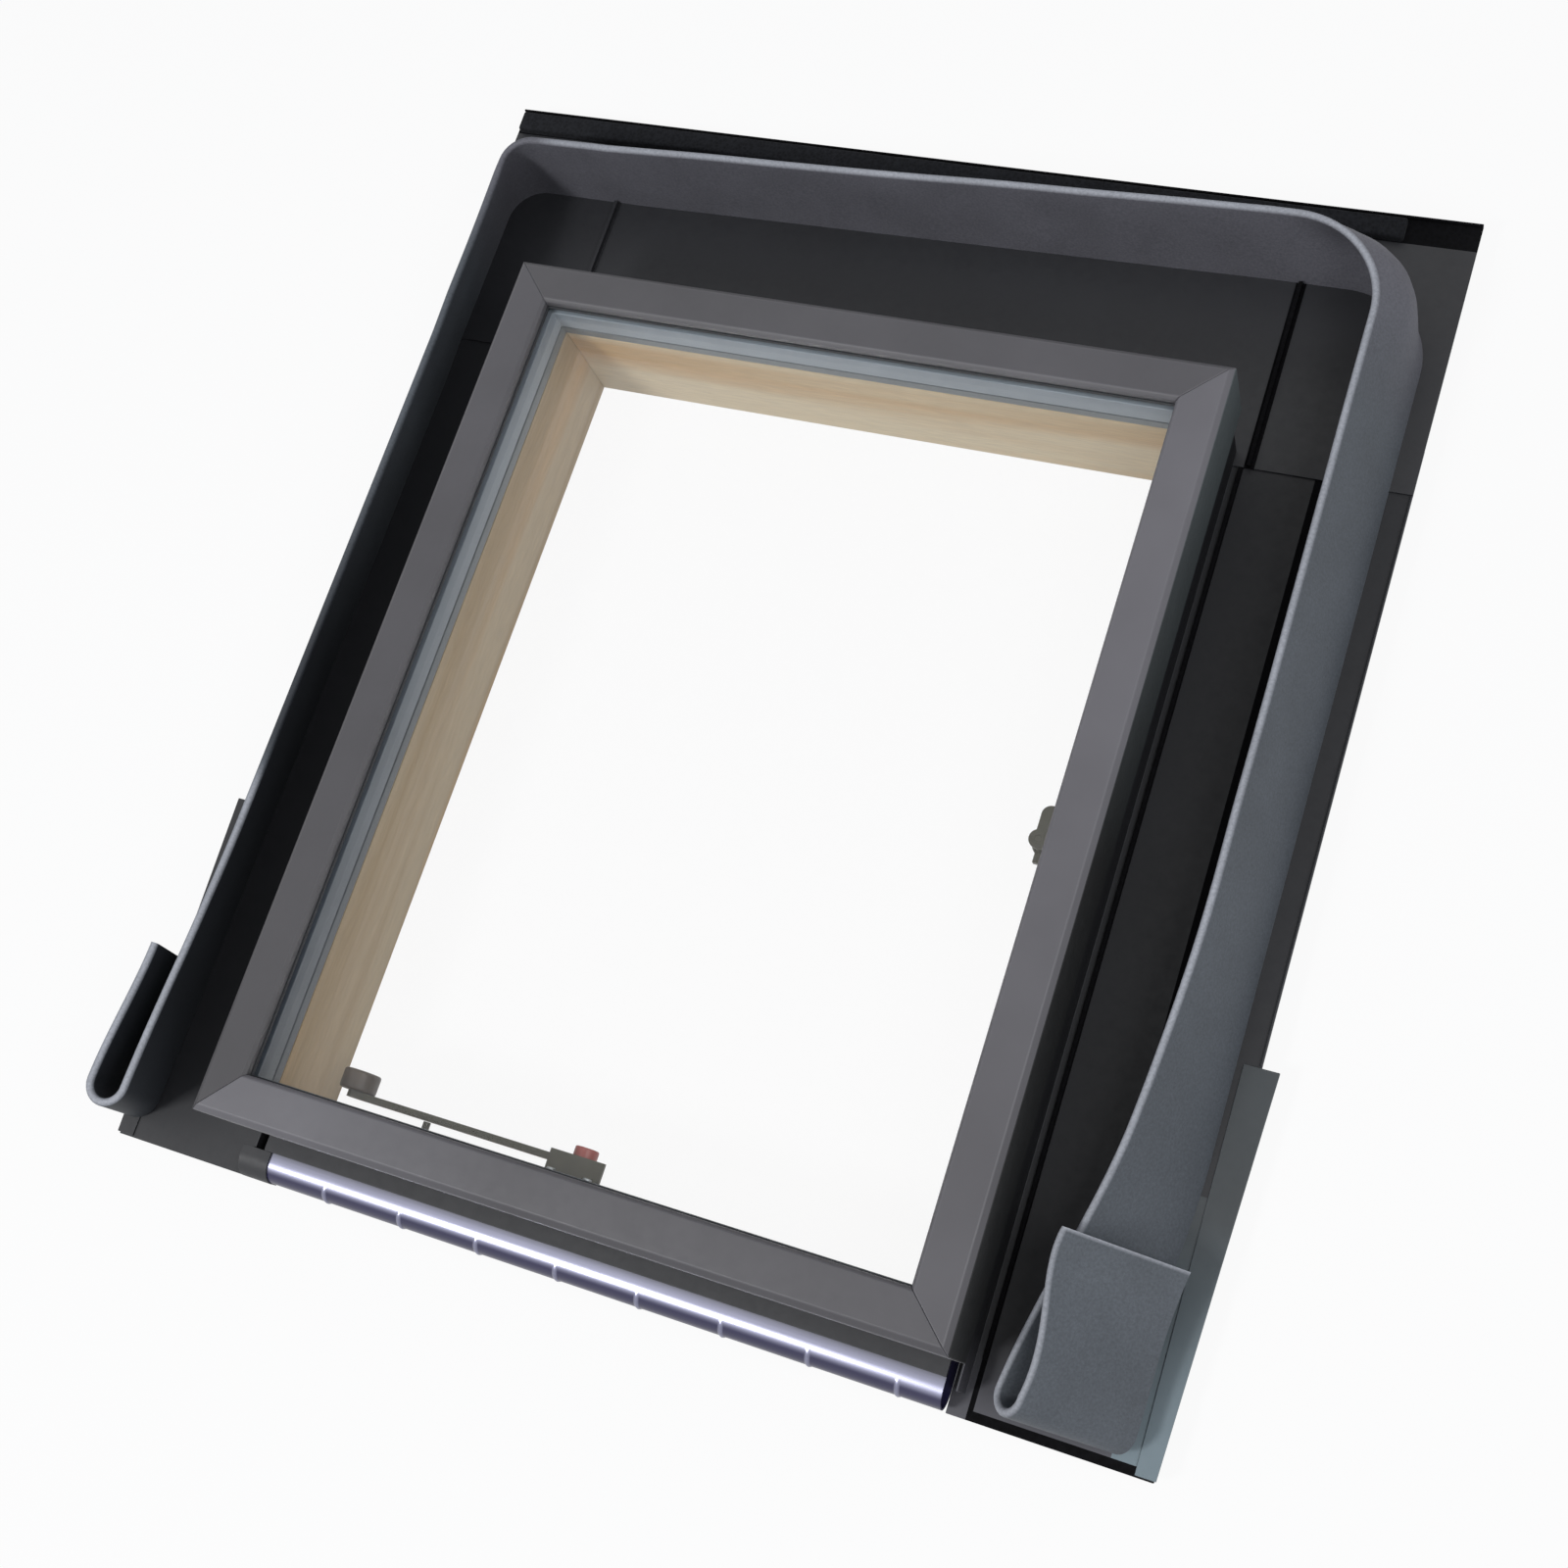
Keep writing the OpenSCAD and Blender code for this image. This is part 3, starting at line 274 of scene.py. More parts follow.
def coated_sheet(name, colour, wear_and_painted_light_tone, rough, peel_mm, cloud=0.1, wear=0.3, second_tone=None, shine=0.5):
    coat = start_finish(name)
    spot = add(coat, "ShaderNodeTexCoord").outputs["Object"]
    peel = add(coat, "ShaderNodeTexNoise", {"Vector": spot, "Scale": per_mm(peel_mm),
        "Detail": 2.0}).outputs[0]
    clouds = add(coat, "ShaderNodeTexNoise", {"Vector": spot, "Scale": per_mm(CLOUD_MM),
        "Detail": 4.0}).outputs[0]
    scuffs = add(coat, "ShaderNodeTexNoise", {"Vector": spot, "Scale": per_mm(SCUFF_MM), "Detail": 5.0,
        "Roughness": 0.7}).outputs[0]
    shade = add(coat, "ShaderNodeMapRange", {"Value": clouds, "From Min": 0.3, "From Max": 0.7,
        "To Min": 1 - cloud, "To Max": 1 + cloud}).outputs[0]
    axis, start, end, late = second_tone or ("X", 0, 1, colour)
    tone_blend = add(coat, "ShaderNodeSeparateXYZ", {0: spot}).outputs[axis]
    tone_blend = add(coat, "ShaderNodeMapRange", {"Value": tone_blend, "From Min": start, "From Max": end}).outputs[0]
    tone = add(coat, "ShaderNodeMix", {0: tone_blend, 6: paint(colour), 7: paint(late)},
        data_type="RGBA").outputs[2]
    base = add(coat, "ShaderNodeVectorMath", {0: tone, "Scale": shade}, operation="SCALE").outputs[0]
    edge = add(coat, "ShaderNodeAttribute", attribute_name="edge").outputs["Fac"]
    bare = add(coat, "ShaderNodeMapRange", {"Value": scuffs, "From Min": 0.2, "From Max": 0.8}).outputs[0]
    bare = add(coat, "ShaderNodeMath", {0: edge, 1: bare}, operation="MULTIPLY").outputs[0]
    bare = add(coat, "ShaderNodeMath", {0: bare, 1: wear}, operation="MULTIPLY").outputs[0]
    base = add(coat, "ShaderNodeMix", {0: bare, 6: base, 7: paint(wear_and_painted_light_tone)}, data_type="RGBA").outputs[2]
    gloss = add(coat, "ShaderNodeMapRange", {"Value": scuffs, "From Min": 0.3, "From Max": 0.7,
        "To Min": rough - 0.05, "To Max": rough + 0.07}).outputs[0]
    lift = add(coat, "ShaderNodeBump", {"Height": peel, "Strength": 0.2,
        "Distance": PEEL_DEPTH_MM * MM}).outputs[0]
    shader = add(coat, "ShaderNodeBsdfPrincipled", {"Base Color": base, "Roughness": gloss, "IOR": 1.5,
        "Specular IOR Level": shine, "Normal": lift})
    add(coat, "ShaderNodeOutputMaterial", {"Surface": shader.outputs[0]})
    return coat


print("recipe ready: clouds of", CLOUD_MM, "mm and scuffs of", SCUFF_MM, "mm")

# %% Coated sheet finishes
# Powder coat is a satin warm grey. Each rail has its own two tones, painted light and shade for how light
# falls on that rail.
sash_light_and_shade_tones = {
    "sash_top_rail": ("#48474A", ("X", -0.2, 0.2, "#4A494D")),
    "sash_left_stile": ("#3A393C", ("Y", -0.26, 0.20, "#4C4B4F")),
    "sash_right_stile": ("#48474B", ("Y", -0.26, 0.10, "#5D5C61")),
    "sash_bottom_rail": ("#56555A", ("X", -0.20, -0.02, "#3D3C40"))}
sash_coats = {rail: coated_sheet("powder-coated aluminium, " + rail, tone, "#84848A", rough=0.50,
    peel_mm=1.6, wear=0.12, second_tone=second_tone) for rail, (tone, second_tone) in sash_light_and_shade_tones.items()}
# The outer side at the right is painted shade: almost black in its lower half and greenish grey towards
# the top.
side_shade_coat = coated_sheet("powder-coated aluminium, side in painted shade", "#0D0F11", "#3A3C40", rough=0.6,
    peel_mm=1.6, wear=0.1, second_tone=("Y", -0.08, 0.20, "#4C5355"))
# Coil coat is rolled on flat sheet before folding: near black, even and half dull.
flashing_coat = coated_sheet("coil-coated aluminium, near black", "#1B1C20", "#4A4C52", rough=0.55,
    peel_mm=3.0)
# The right gutter is a lighter grey at its front end.
front_coat = coated_sheet("coil-coated aluminium, lighter at the front", "#18191D", "#4A4C52", rough=0.55,
    peel_mm=3.0, second_tone=("Y", -0.335, -0.372, "#47474D"), shine=0.4)
# Anodising leaves a thin blue-grey skin with more gloss than paint.
bead_coat = coated_sheet("anodised aluminium bead", "#4C555D", "#8C949C", rough=0.38, peel_mm=1.6,
    second_tone=("Y", -0.20, 0.15, "#747C80"))
# Soft foil is dull and full of shallow dents.
wing_sheet = coated_sheet("creased aluminium foil, lead grey", "#2B3033", "#7C8286", rough=0.55, peel_mm=7.0,
    cloud=0.12, second_tone=("Y", -0.24, -0.36, "#65737A"))
print("coated finishes:", len(sash_coats), "for the sash /", flashing_coat.name)

# %% [markdown]
# ## Collar rubber
#
# The collar is a grainy moulded strip with a painted highlight along its crest. The highlight follows the
# bent strip, so it can't come from coordinates alone. The attribute `crest`, which the collar's own step
# writes, is 1 on the painted highlight of the crest, 0 on the plain face and -1 on most of the left run,
# which is painted dark as painted shade.

# %% Collar finish
# Slate grey with fine flecks and a pale crest, which is painted highlight; the run along the top, which
# starts between these two places in metres, is painted lighter and warmer as painted light, and the left
# run is painted darker as painted shade.
UPPER_START, UPPER_END = 0.22, 0.30
# The real grain is about 0.5 mm; it is drawn at 1.6 mm so that it shows at this distance.
GRAIN_MM, BLOTCH_MM, GRAIN_DEPTH_MM = 1.6, 45, 0.25

collar_rubber = start_finish("grained moulded rubber, slate grey")
spot = add(collar_rubber, "ShaderNodeTexCoord").outputs["Object"]
grain = add(collar_rubber, "ShaderNodeTexNoise", {"Vector": spot, "Scale": per_mm(GRAIN_MM), "Detail": 3.0,
    "Roughness": 0.65}).outputs[0]
blotch = add(collar_rubber, "ShaderNodeTexNoise", {"Vector": spot, "Scale": per_mm(BLOTCH_MM),
    "Detail": 3.0}).outputs[0]
crest = add(collar_rubber, "ShaderNodeAttribute", attribute_name="crest").outputs["Fac"]
fleck = add(collar_rubber, "ShaderNodeMapRange", {"Value": grain, "From Min": 0.3, "From Max": 0.7,
    "To Min": 0.82, "To Max": 1.2}).outputs[0]
cloud = add(collar_rubber, "ShaderNodeMapRange", {"Value": blotch, "From Min": 0.3, "From Max": 0.7,
    "To Min": 0.9, "To Max": 1.1}).outputs[0]
fleck = add(collar_rubber, "ShaderNodeMath", {0: fleck, 1: cloud}, operation="MULTIPLY").outputs[0]
upper = add(collar_rubber, "ShaderNodeSeparateXYZ", {0: spot}).outputs["Y"]
upper = add(collar_rubber, "ShaderNodeMapRange", {"Value": upper, "From Min": UPPER_START,
    "From Max": UPPER_END}).outputs[0]
slate = add(collar_rubber, "ShaderNodeMix", {0: upper, 6: paint("#4B5056"), 7: paint("#5B5B62")},
    data_type="RGBA").outputs[2]
# Painted shade darkens most of the left run, and a painted highlight pales the crest.
left_painted_shade = add(collar_rubber, "ShaderNodeMapRange", {"Value": crest, "From Min": 0.0,
    "From Max": -1.0}).outputs[0]
slate = add(collar_rubber, "ShaderNodeMix", {0: left_painted_shade, 6: slate, 7: paint("#22262C")},
    data_type="RGBA").outputs[2]
slate = add(collar_rubber, "ShaderNodeMix", {0: crest, 6: slate, 7: paint("#90939A")},
    data_type="RGBA").outputs[2]
slate = add(collar_rubber, "ShaderNodeVectorMath", {0: slate, "Scale": fleck}, operation="SCALE").outputs[0]
lift = add(collar_rubber, "ShaderNodeBump", {"Height": grain, "Strength": 0.5,
    "Distance": GRAIN_DEPTH_MM * MM}).outputs[0]
shader = add(collar_rubber, "ShaderNodeBsdfPrincipled", {"Base Color": slate, "Roughness": 0.68, "IOR": 1.45,
    "Normal": lift})
add(collar_rubber, "ShaderNodeOutputMaterial", {"Surface": shader.outputs[0]})
print("collar finish:", collar_rubber.name)

# %% [markdown]
# ## Seals, foam and sealant
#
# Black rubber, foam and sealant differ in their pores and in how little they shine. Noise could make
# them uneven, but pores are round and stand wall to wall, so a texture of cells serves better: dark in
# the middle of a cell, lighter at its walls. A sky above makes any glossy black look grey, so the shine
# of each is set low.

# %% Seals, foam and sealant
def dull_black(name, colour, pore_mm, depth_mm, rough, shine):
    dull = start_finish(name)
    spot = add(dull, "ShaderNodeTexCoord").outputs["Object"]
    pores = add(dull, "ShaderNodeTexVoronoi", {"Vector": spot, "Scale": per_mm(pore_mm)}).outputs["Distance"]
    shade = add(dull, "ShaderNodeMapRange", {"Value": pores, "From Min": 0.0, "From Max": 0.8,
        "To Min": 0.55, "To Max": 1.35}).outputs[0]
    base = add(dull, "ShaderNodeVectorMath", {0: paint(colour)[:3], "Scale": shade},
        operation="SCALE").outputs[0]
    lift = add(dull, "ShaderNodeBump", {"Height": pores, "Strength": 0.6,
        "Distance": depth_mm * MM}).outputs[0]
    shader = add(dull, "ShaderNodeBsdfPrincipled", {"Base Color": base, "Roughness": rough, "IOR": 1.45,
        "Specular IOR Level": shine, "Normal": lift})
    add(dull, "ShaderNodeOutputMaterial", {"Surface": shader.outputs[0]})
    return dull


# Extruded rubber is smooth with a faint sheen, cut foam is all pores, and sealant swallows light; the
# sealant's black also serves as painted shadow on the right gutter. The pores of rubber are finer than
# 0.2 mm; they are drawn at 1.2 mm so that they show.
seal_rubber = dull_black("extruded rubber seal, black", "#26282B", pore_mm=1.2, depth_mm=0.05,
    rough=0.6, shine=0.4)
black_foam = dull_black("open-cell foam, black", "#1B1C1F", pore_mm=2.4, depth_mm=0.8,
    rough=0.95, shine=0.2)
black_sealant_and_shadow = dull_black("butyl sealant and painted shadow, black", "#0A0A0C", pore_mm=3.0, depth_mm=0.1,
    rough=0.8, shine=0.08)
print("dull finishes:", seal_rubber.name, "/", black_foam.name, "/", black_sealant_and_shadow.name)

# %% [markdown]
# ## Glass
#
# Float glass passes light straight through and mirrors more the flatter it is looked at, so the share
# of the mirror comes from the angle. A Refraction shader could bend what lies behind, but panes this
# thin hardly do so, and a Transparent shader lets light reach the pine without noise. The coating takes
# most of the mirror away.

# %% Clear glass
# Clear and without tint, with only a faint mirror.
MIRROR_LEFT = 0.35

clear_glass = start_finish("clear float glass, low-reflection coating")
open_way = add(clear_glass, "ShaderNodeBsdfTransparent", {"Color": WHITE})
mirror = add(clear_glass, "ShaderNodeBsdfGlossy", {"Color": WHITE, "Roughness": 0.02})
edge_on = add(clear_glass, "ShaderNodeFresnel", {"IOR": 1.5})
coating = add(clear_glass, "ShaderNodeMath", {0: edge_on.outputs[0], 1: MIRROR_LEFT}, operation="MULTIPLY")
both = add(clear_glass, "ShaderNodeMixShader", {0: coating.outputs[0], 1: open_way.outputs[0],
    2: mirror.outputs[0]})
add(clear_glass, "ShaderNodeOutputMaterial", {"Surface": both.outputs[0]})
print("glass finish:", clear_glass.name)

# %% [markdown]
# ## Metals and plastics
#
# Zinc plating shows small crystals that each shine a little differently. Noise would blur them into
# each other, so a texture of cells shifts colour and roughness together. Olive fittings and the spacer
# bar have a thin skin, and the recipe for coated sheet suits them. Moulded plastic has a fine grain
# from its mould.

# %% Metals and plastics
# The real grain is about 0.2 mm; it is drawn at 0.8 mm so that it shows at this distance.
PLASTIC_GRAIN_MM, PLASTIC_DEPTH_MM = 0.8, 0.05


def plain_metal(name, colour, rough, spangle_mm, contrast):
    metal = start_finish(name)
    spot = add(metal, "ShaderNodeTexCoord").outputs["Object"]
    cells = add(metal, "ShaderNodeTexVoronoi", {"Vector": spot, "Scale": per_mm(spangle_mm)}).outputs["Color"]
    tone = add(metal, "ShaderNodeSeparateColor", {0: cells}).outputs[0]
    shade = add(metal, "ShaderNodeMapRange", {"Value": tone, "To Min": 1 - contrast,
        "To Max": 1 + contrast}).outputs[0]
    base = add(metal, "ShaderNodeVectorMath", {0: paint(colour)[:3], "Scale": shade},
        operation="SCALE").outputs[0]
    gloss = add(metal, "ShaderNodeMapRange", {"Value": tone, "To Min": rough - 0.05,
        "To Max": rough + 0.08}).outputs[0]
    shader = add(metal, "ShaderNodeBsdfPrincipled", {"Base Color": base, "Metallic": 1.0, "Roughness": gloss})
    add(metal, "ShaderNodeOutputMaterial", {"Surface": shader.outputs[0]})
    return metal


def moulded(name, colour, rough):
    plastic = start_finish(name)
    spot = add(plastic, "ShaderNodeTexCoord").outputs["Object"]
    grain = add(plastic, "ShaderNodeTexNoise", {"Vector": spot, "Scale": per_mm(PLASTIC_GRAIN_MM),
        "Detail": 2.0}).outputs[0]
    shade = add(plastic, "ShaderNodeMapRange", {"Value": grain, "From Min": 0.3, "From Max": 0.7,
        "To Min": 0.85, "To Max": 1.12}).outputs[0]
    base = add(plastic, "ShaderNodeVectorMath", {0: paint(colour)[:3], "Scale": shade},
        operation="SCALE").outputs[0]
    lift = add(plastic, "ShaderNodeBump", {"Height": grain, "Strength": 0.3,
        "Distance": PLASTIC_DEPTH_MM * MM}).outputs[0]
    shader = add(plastic, "ShaderNodeBsdfPrincipled", {"Base Color": base, "Roughness": rough, "IOR": 1.49,
        "Normal": lift})
    add(plastic, "ShaderNodeOutputMaterial", {"Surface": shader.outputs[0]})
    return plastic


# Plating gives a cool broken glint, passivation a dull olive, the spacer's skin a grey that is painted
# paler towards the top as painted light, and plastic a soft even sheen.
plated_steel = plain_metal("zinc-plated steel", "#A9AEB2", rough=0.34, spangle_mm=3.0, contrast=0.10)
olive_steel = coated_sheet("olive-passivated steel", "#3A3826", "#7A745A", rough=0.42, peel_mm=1.0)
spacer_metal = coated_sheet("anodised aluminium spacer, dull, painted light at the top", "#4A525A", "#8C949C", rough=0.45, peel_mm=1.6,
    second_tone=("Y", -0.25, 0.17, "#868F97"))
red_plastic = moulded("moulded polypropylene, brick red", "#A2463C", rough=0.4)
brown_plastic = moulded("moulded polypropylene, brown", "#3B2E21", rough=0.45)
print("metals:", plated_steel.name, "/", spacer_metal.name)

# %% [markdown]
# ## Apron metal
#
# The apron is bright rolled aluminium with fine streaks along the rolling direction. Near the sill it
# is painted darker as a painted reflection of the dark sash above, and it is brightest at the roll. Past
# the top of the roll it is painted dark as a painted reflection. Two materials could meet there, but the
# dark part ends in a soft border. So one material holds both, and an attribute that the apron's own step
# writes drives the colour and how much of the surface is metal.

# %% Apron finish
# Silver with faint streaks, then violet black as painted dark reflection. Real rolling marks are about
# 0.2 mm wide; they are drawn 2 mm wide so that they show at this distance.
STREAK_MM, STREAK_LENGTH_MM = 2, 60
# The painted reflection of the sash near the sill ends between these two places, in metres.
SILL_REFLECTION_START, SILL_REFLECTION_END = -0.3612, -0.3682

apron_metal = start_finish("bright rolled aluminium, painted dark reflection underneath")
dark_reflection = add(apron_metal, "ShaderNodeAttribute", attribute_name="dark_reflection").outputs["Fac"]
spot = add(apron_metal, "ShaderNodeTexCoord").outputs["Object"]
drawn = add(apron_metal, "ShaderNodeMapping", {"Vector": spot,
    "Scale": (per_mm(STREAK_LENGTH_MM), per_mm(STREAK_MM), per_mm(STREAK_MM))}).outputs[0]
streak = add(apron_metal, "ShaderNodeTexNoise", {"Vector": drawn, "Scale": 1.0, "Detail": 3.0}).outputs[0]
shade = add(apron_metal, "ShaderNodeMapRange", {"Value": streak, "From Min": 0.3, "From Max": 0.7,
    "To Min": 0.93, "To Max": 1.05}).outputs[0]
sill_reflection = add(apron_metal, "ShaderNodeSeparateXYZ", {0: spot}).outputs["Y"]
sill_reflection = add(apron_metal, "ShaderNodeMapRange", {"Value": sill_reflection, "From Min": SILL_REFLECTION_START,
    "From Max": SILL_REFLECTION_END}).outputs[0]
sheet = add(apron_metal, "ShaderNodeMix", {0: sill_reflection, 6: paint("#66676F"), 7: paint("#A6A7BE")},
    data_type="RGBA").outputs[2]
sheet = add(apron_metal, "ShaderNodeMix", {0: dark_reflection, 6: sheet, 7: paint("#252343")},
    data_type="RGBA").outputs[2]
sheet = add(apron_metal, "ShaderNodeVectorMath", {0: sheet, "Scale": shade}, operation="SCALE").outputs[0]
bare = add(apron_metal, "ShaderNodeMapRange", {"Value": dark_reflection, "To Min": 0.85, "To Max": 0.0}).outputs[0]
shader = add(apron_metal, "ShaderNodeBsdfPrincipled", {"Base Color": sheet, "Metallic": bare,
    "Roughness": 0.3})
add(apron_metal, "ShaderNodeOutputMaterial", {"Surface": shader.outputs[0]})
print("apron finish:", apron_metal.name)

# %% [markdown]
# ## Rounding what the solids leave sharp
#
# No real edge is knife sharp: planing, folding and extruding all leave a small radius, and that radius
# is what catches the light. A copy of each solid is merged from its loose triangles, its flat areas are
# joined, and the bevel operator rounds every sharp edge. A Bevel modifier could do that too, but it
# can't mark its new faces in the attribute `edge` for the wear in the coatings. A second helper makes
# the piece: it smooths the faces, hangs the piece on the body of its solid and hides the solids it
# stands for.

# %% Rounded copies
# The first is in metres and the angles are in degrees.
MERGE, FLAT_ANGLE, SHARP_ANGLE, CREASE_ANGLE = 2e-6, 0.6, 32, 50


def rounded_copy(node, radius, segments=2):
    bm = bmesh.new()
    bm.from_mesh(frame["nodes"][node].data)
    bmesh.ops.remove_doubles(bm, verts=bm.verts, dist=MERGE)
    bmesh.ops.dissolve_limit(bm, angle_limit=math.radians(FLAT_ANGLE), verts=bm.verts, edges=bm.edges)
    wear_and_painted_light = bm.faces.layers.float.new("edge")
    sharp = [e for e in bm.edges if e.is_manifold and e.calc_face_angle(0) > math.radians(SHARP_ANGLE)]
    made = bmesh.ops.bevel(bm, geom=sharp, offset=radius * MM, offset_type="OFFSET", segments=segments,
        profile=0.5, affect="EDGES", clamp_overlap=True, material=-1)
    for face in made["faces"]:
        face[wear_and_painted_light] = 1.0
    return bm


def set_down(name, bm, finish, slot, *nodes, more=()):
    for face in bm.faces:
        face.smooth = True
    mesh = bpy.data.meshes.new(name)
    bm.to_mesh(mesh)
    bm.free()
    mesh.set_sharp_from_angle(angle=math.radians(CREASE_ANGLE))
    for coat in (finish, *more):
        mesh.materials.append(coat)
    piece = bpy.data.objects.new(name, mesh)
    bpy.context.scene.collection.objects.link(piece)
    even_faces = piece.modifiers.new("even_faces", "WEIGHTED_NORMAL")
    even_faces.keep_sharp = True
    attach(piece, frame["nodes"][nodes[0]]["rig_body"])
    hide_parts(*nodes)
    return piece


print("helpers ready for", len(frame["nodes"]), "solids")

# %% [markdown]
# ## Pine boards
#
# Four planed boards make the box of the frame, two across and two up the slope. They could be drawn
# anew from cubes, but the solids already have the right shape, so each board is a copy with its edges
# broken to a radius of 1 mm, as a hand plane leaves them.

# %% Pine boards
for board in ("pine_top_rail", "pine_bottom_rail"):
    set_down("planed_" + board, rounded_copy(board, radius=1.0, segments=3), pine_across, "pine", board)
for board in ("pine_left_stile", "pine_right_stile"):
    set_down("planed_" + board, rounded_copy(board, radius=1.0, segments=3), pine_upright, "pine", board)

# %% [markdown]
# ## Sash and glazing beads
#
# The sash is four extruded rails, mitred and joined at the corners, with a clipped bead inside each.
# The rails keep the shape of their solids and each takes its own coat, whose two tones are painted light
# and shade. The outer side at the right is painted darker as painted shade. It could be cut off as a
# piece of its own, but it is the same metal, so it gets a second material on the same mesh: its faces
# are picked by the way they look and by where they lie.

# %% Sash and beads
SIDE_LOOK, SIDE_X = 0.8, 0.22

# Faces on the outer right side take the second coat, which carries painted shade.
for rail, coat in sash_coats.items():
    bm = rounded_copy(rail, radius=0.7, segments=3)
    bm.normal_update()
    for face in bm.faces:
        if face.normal.x > SIDE_LOOK and face.calc_center_median().x > SIDE_X:
            face.material_index = 1
    set_down("coated_" + rail, bm, coat, "sash", rail, more=[side_shade_coat])
for strip in ("bead_top", "bead_bottom", "bead_left", "bead_right"):
    set_down("anodised_" + strip, rounded_copy(strip, radius=0.5), bead_coat, "bead", strip)

# %% [markdown]
# ## Glazing and seals
#
# Two panes and a spacer bar between them are glued into one unit, which sits in a rubber seal. A second
# seal lies on the pine, where the sash comes down. One sheet could stand for the glass, but two panes
# with the bar between them give the double edge that such glazing shows.

# %% Glazing and seals
for pane in ("glass_outer", "glass_inner"):
    set_down("clear_" + pane, rounded_copy(pane, radius=0.5), clear_glass, "glass", pane)
set_down("bright_spacer", rounded_copy("spacer", radius=0.6), spacer_metal, "spacer", "spacer")
for seal in ("glazing_seal", "frame_seal"):
    set_down("rubber_" + seal, rounded_copy(seal, radius=0.6), seal_rubber, "seal", seal)

# %% [markdown]
# ## Flashing, cap and wings
#
# The gutters are folded from thin sheet, so their edges are the sharpest of all. Black sealant is run
# along the welt, and the flange under and past the foam is black as well. The rib, a strip on the floor
# beside the collar's crest and the front hem of the right gutter are painted black in the same material
# as painted shadow, and grey foil is laid over the front of the right gutter. Both could be strips of
# their own, but they hardly stand out from the sheet. So they are skins of it: bisect_plane cuts it
# along their borders, and the faces between the cuts take another material. The borders are in
# millimetres, and the one along the foam comes from the foam's own box.

# %% Flashing, cap and wings
# The welt carries black sealant; the rib, the strip beside the collar's crest and the front hem are painted
# black as painted shadow.
WELT, RIB, CREST_SHADOW = (232, 238.4), (229, 232), (275, 283)
HEM_X, HEM_Y, FOIL_X, FOIL_Y = 245, -374, 308, -230
FOAM_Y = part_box("foam_strip")[0].y / MM
WELD = 1e-6


def top_black(x, y):
    return y > FOAM_Y or WELT[0] < x < WELT[1]


# Painted shadow on the right gutter: the rib, the strip beside the crest and the front hem.
def right_painted_shadow(x, y):
    return RIB[0] < x < RIB[1] or (CREST_SHADOW[0] < x < CREST_SHADOW[1] and y > FOIL_Y) or (x > HEM_X and y < HEM_Y)


def sealed_and_shaded_sheet(node, coat, x_cuts, is_black):
    sheet = rounded_copy(node, radius=0.4)
    cuts = [((x, 0), (1, 0)) for x in x_cuts] + [((0, y), (0, 1)) for y in (HEM_Y, FOIL_Y, FOAM_Y)]
    for (x, y), (across, along) in cuts:
        bmesh.ops.bisect_plane(sheet, geom=sheet.verts[:] + sheet.edges[:] + sheet.faces[:], dist=WELD,
            plane_co=(x * MM, y * MM, 0), plane_no=(across, along, 0))
    for face in sheet.faces:
        spot = face.calc_center_median() / MM
        if is_black(spot.x, spot.y):
            face.material_index = 1
        elif spot.x > FOIL_X and spot.y < FOIL_Y:
            face.material_index = 2
    set_down("folded_" + node, sheet, coat, "flashing", node, more=[black_sealant_and_shadow, wing_sheet])


sealed_and_shaded_sheet("flashing_top", flashing_coat, WELT, top_black)
sealed_and_shaded_sheet("flashing_right", front_coat, (*RIB, *CREST_SHADOW, FOIL_X), right_painted_shadow)
for node in ("flashing_left", "flashing_sill"):
    set_down("folded_" + node, rounded_copy(node, radius=0.4), flashing_coat, "flashing", node)
set_down("folded_corner_cap", rounded_copy("corner_cap", radius=0.35), flashing_coat, "apron", "corner_cap")
# Painted shade: the left wing is the same foil as the right, but takes the near-black coat of the flashing.
set_down("creased_wing_left", rounded_copy("wing_left", radius=0.4), flashing_coat, "wing", "wing_left")
set_down("creased_wing_right", rounded_copy("wing_right", radius=0.4), wing_sheet, "wing", "wing_right")

# %% [markdown]
# ## Fittings
#
# Hinges and screws are bright plated steel. The stay, which holds the sash open, and the catch have an
# olive skin. Bare solids would almost do at this size, but a bright edge is what tells steel from paint.
# These pieces are stamped and turned, so a radius of 0.3 mm is enough, and the cap and grip are moulded,
# with softer edges.

# %% Fittings
for plate in ("upper_hinge_frame_leaf", "lower_hinge_frame_leaf", "upper_hinge_sash_leaf",
        "lower_hinge_sash_leaf", "upper_hinge_pin", "lower_hinge_pin", "frame_screws", "sash_screws"):
    set_down("plated_" + plate, rounded_copy(plate, radius=0.3), plated_steel, "steel", plate)
for plate in ("stay_peg", "stay_bracket", "stay_pin", "stay_bar", "catch_keeper", "catch_base", "catch_pin",
        "catch_lever"):
    set_down("plated_" + plate, rounded_copy(plate, radius=0.3), olive_steel, "steel", plate)
set_down("moulded_stay_cap", rounded_copy("stay_cap", radius=1.0, segments=3), red_plastic, "red_cap",
    "stay_cap")
set_down("moulded_stay_grip", rounded_copy("stay_grip", radius=1.5, segments=3), brown_plastic, "grip",
    "stay_grip")

# %% [markdown]
# ## The collar
#
# The collar is one flexible strip on edge. It leans inwards, bends round two top corners whose crest
# and foot follow different radii, twists flatter towards the lower right and is folded back on itself
# at both ends. A curve with a bevel could follow the foot, but the crest takes a path of its own. So the
# form is said as stations along the strip: at each, a point on the foot, a point on the crest and how
# far the strip bulges between them. A grid then follows the stations one way and the rounded section
# the other way. Lengths are millimetres from the middle of the window, and angles are degrees.

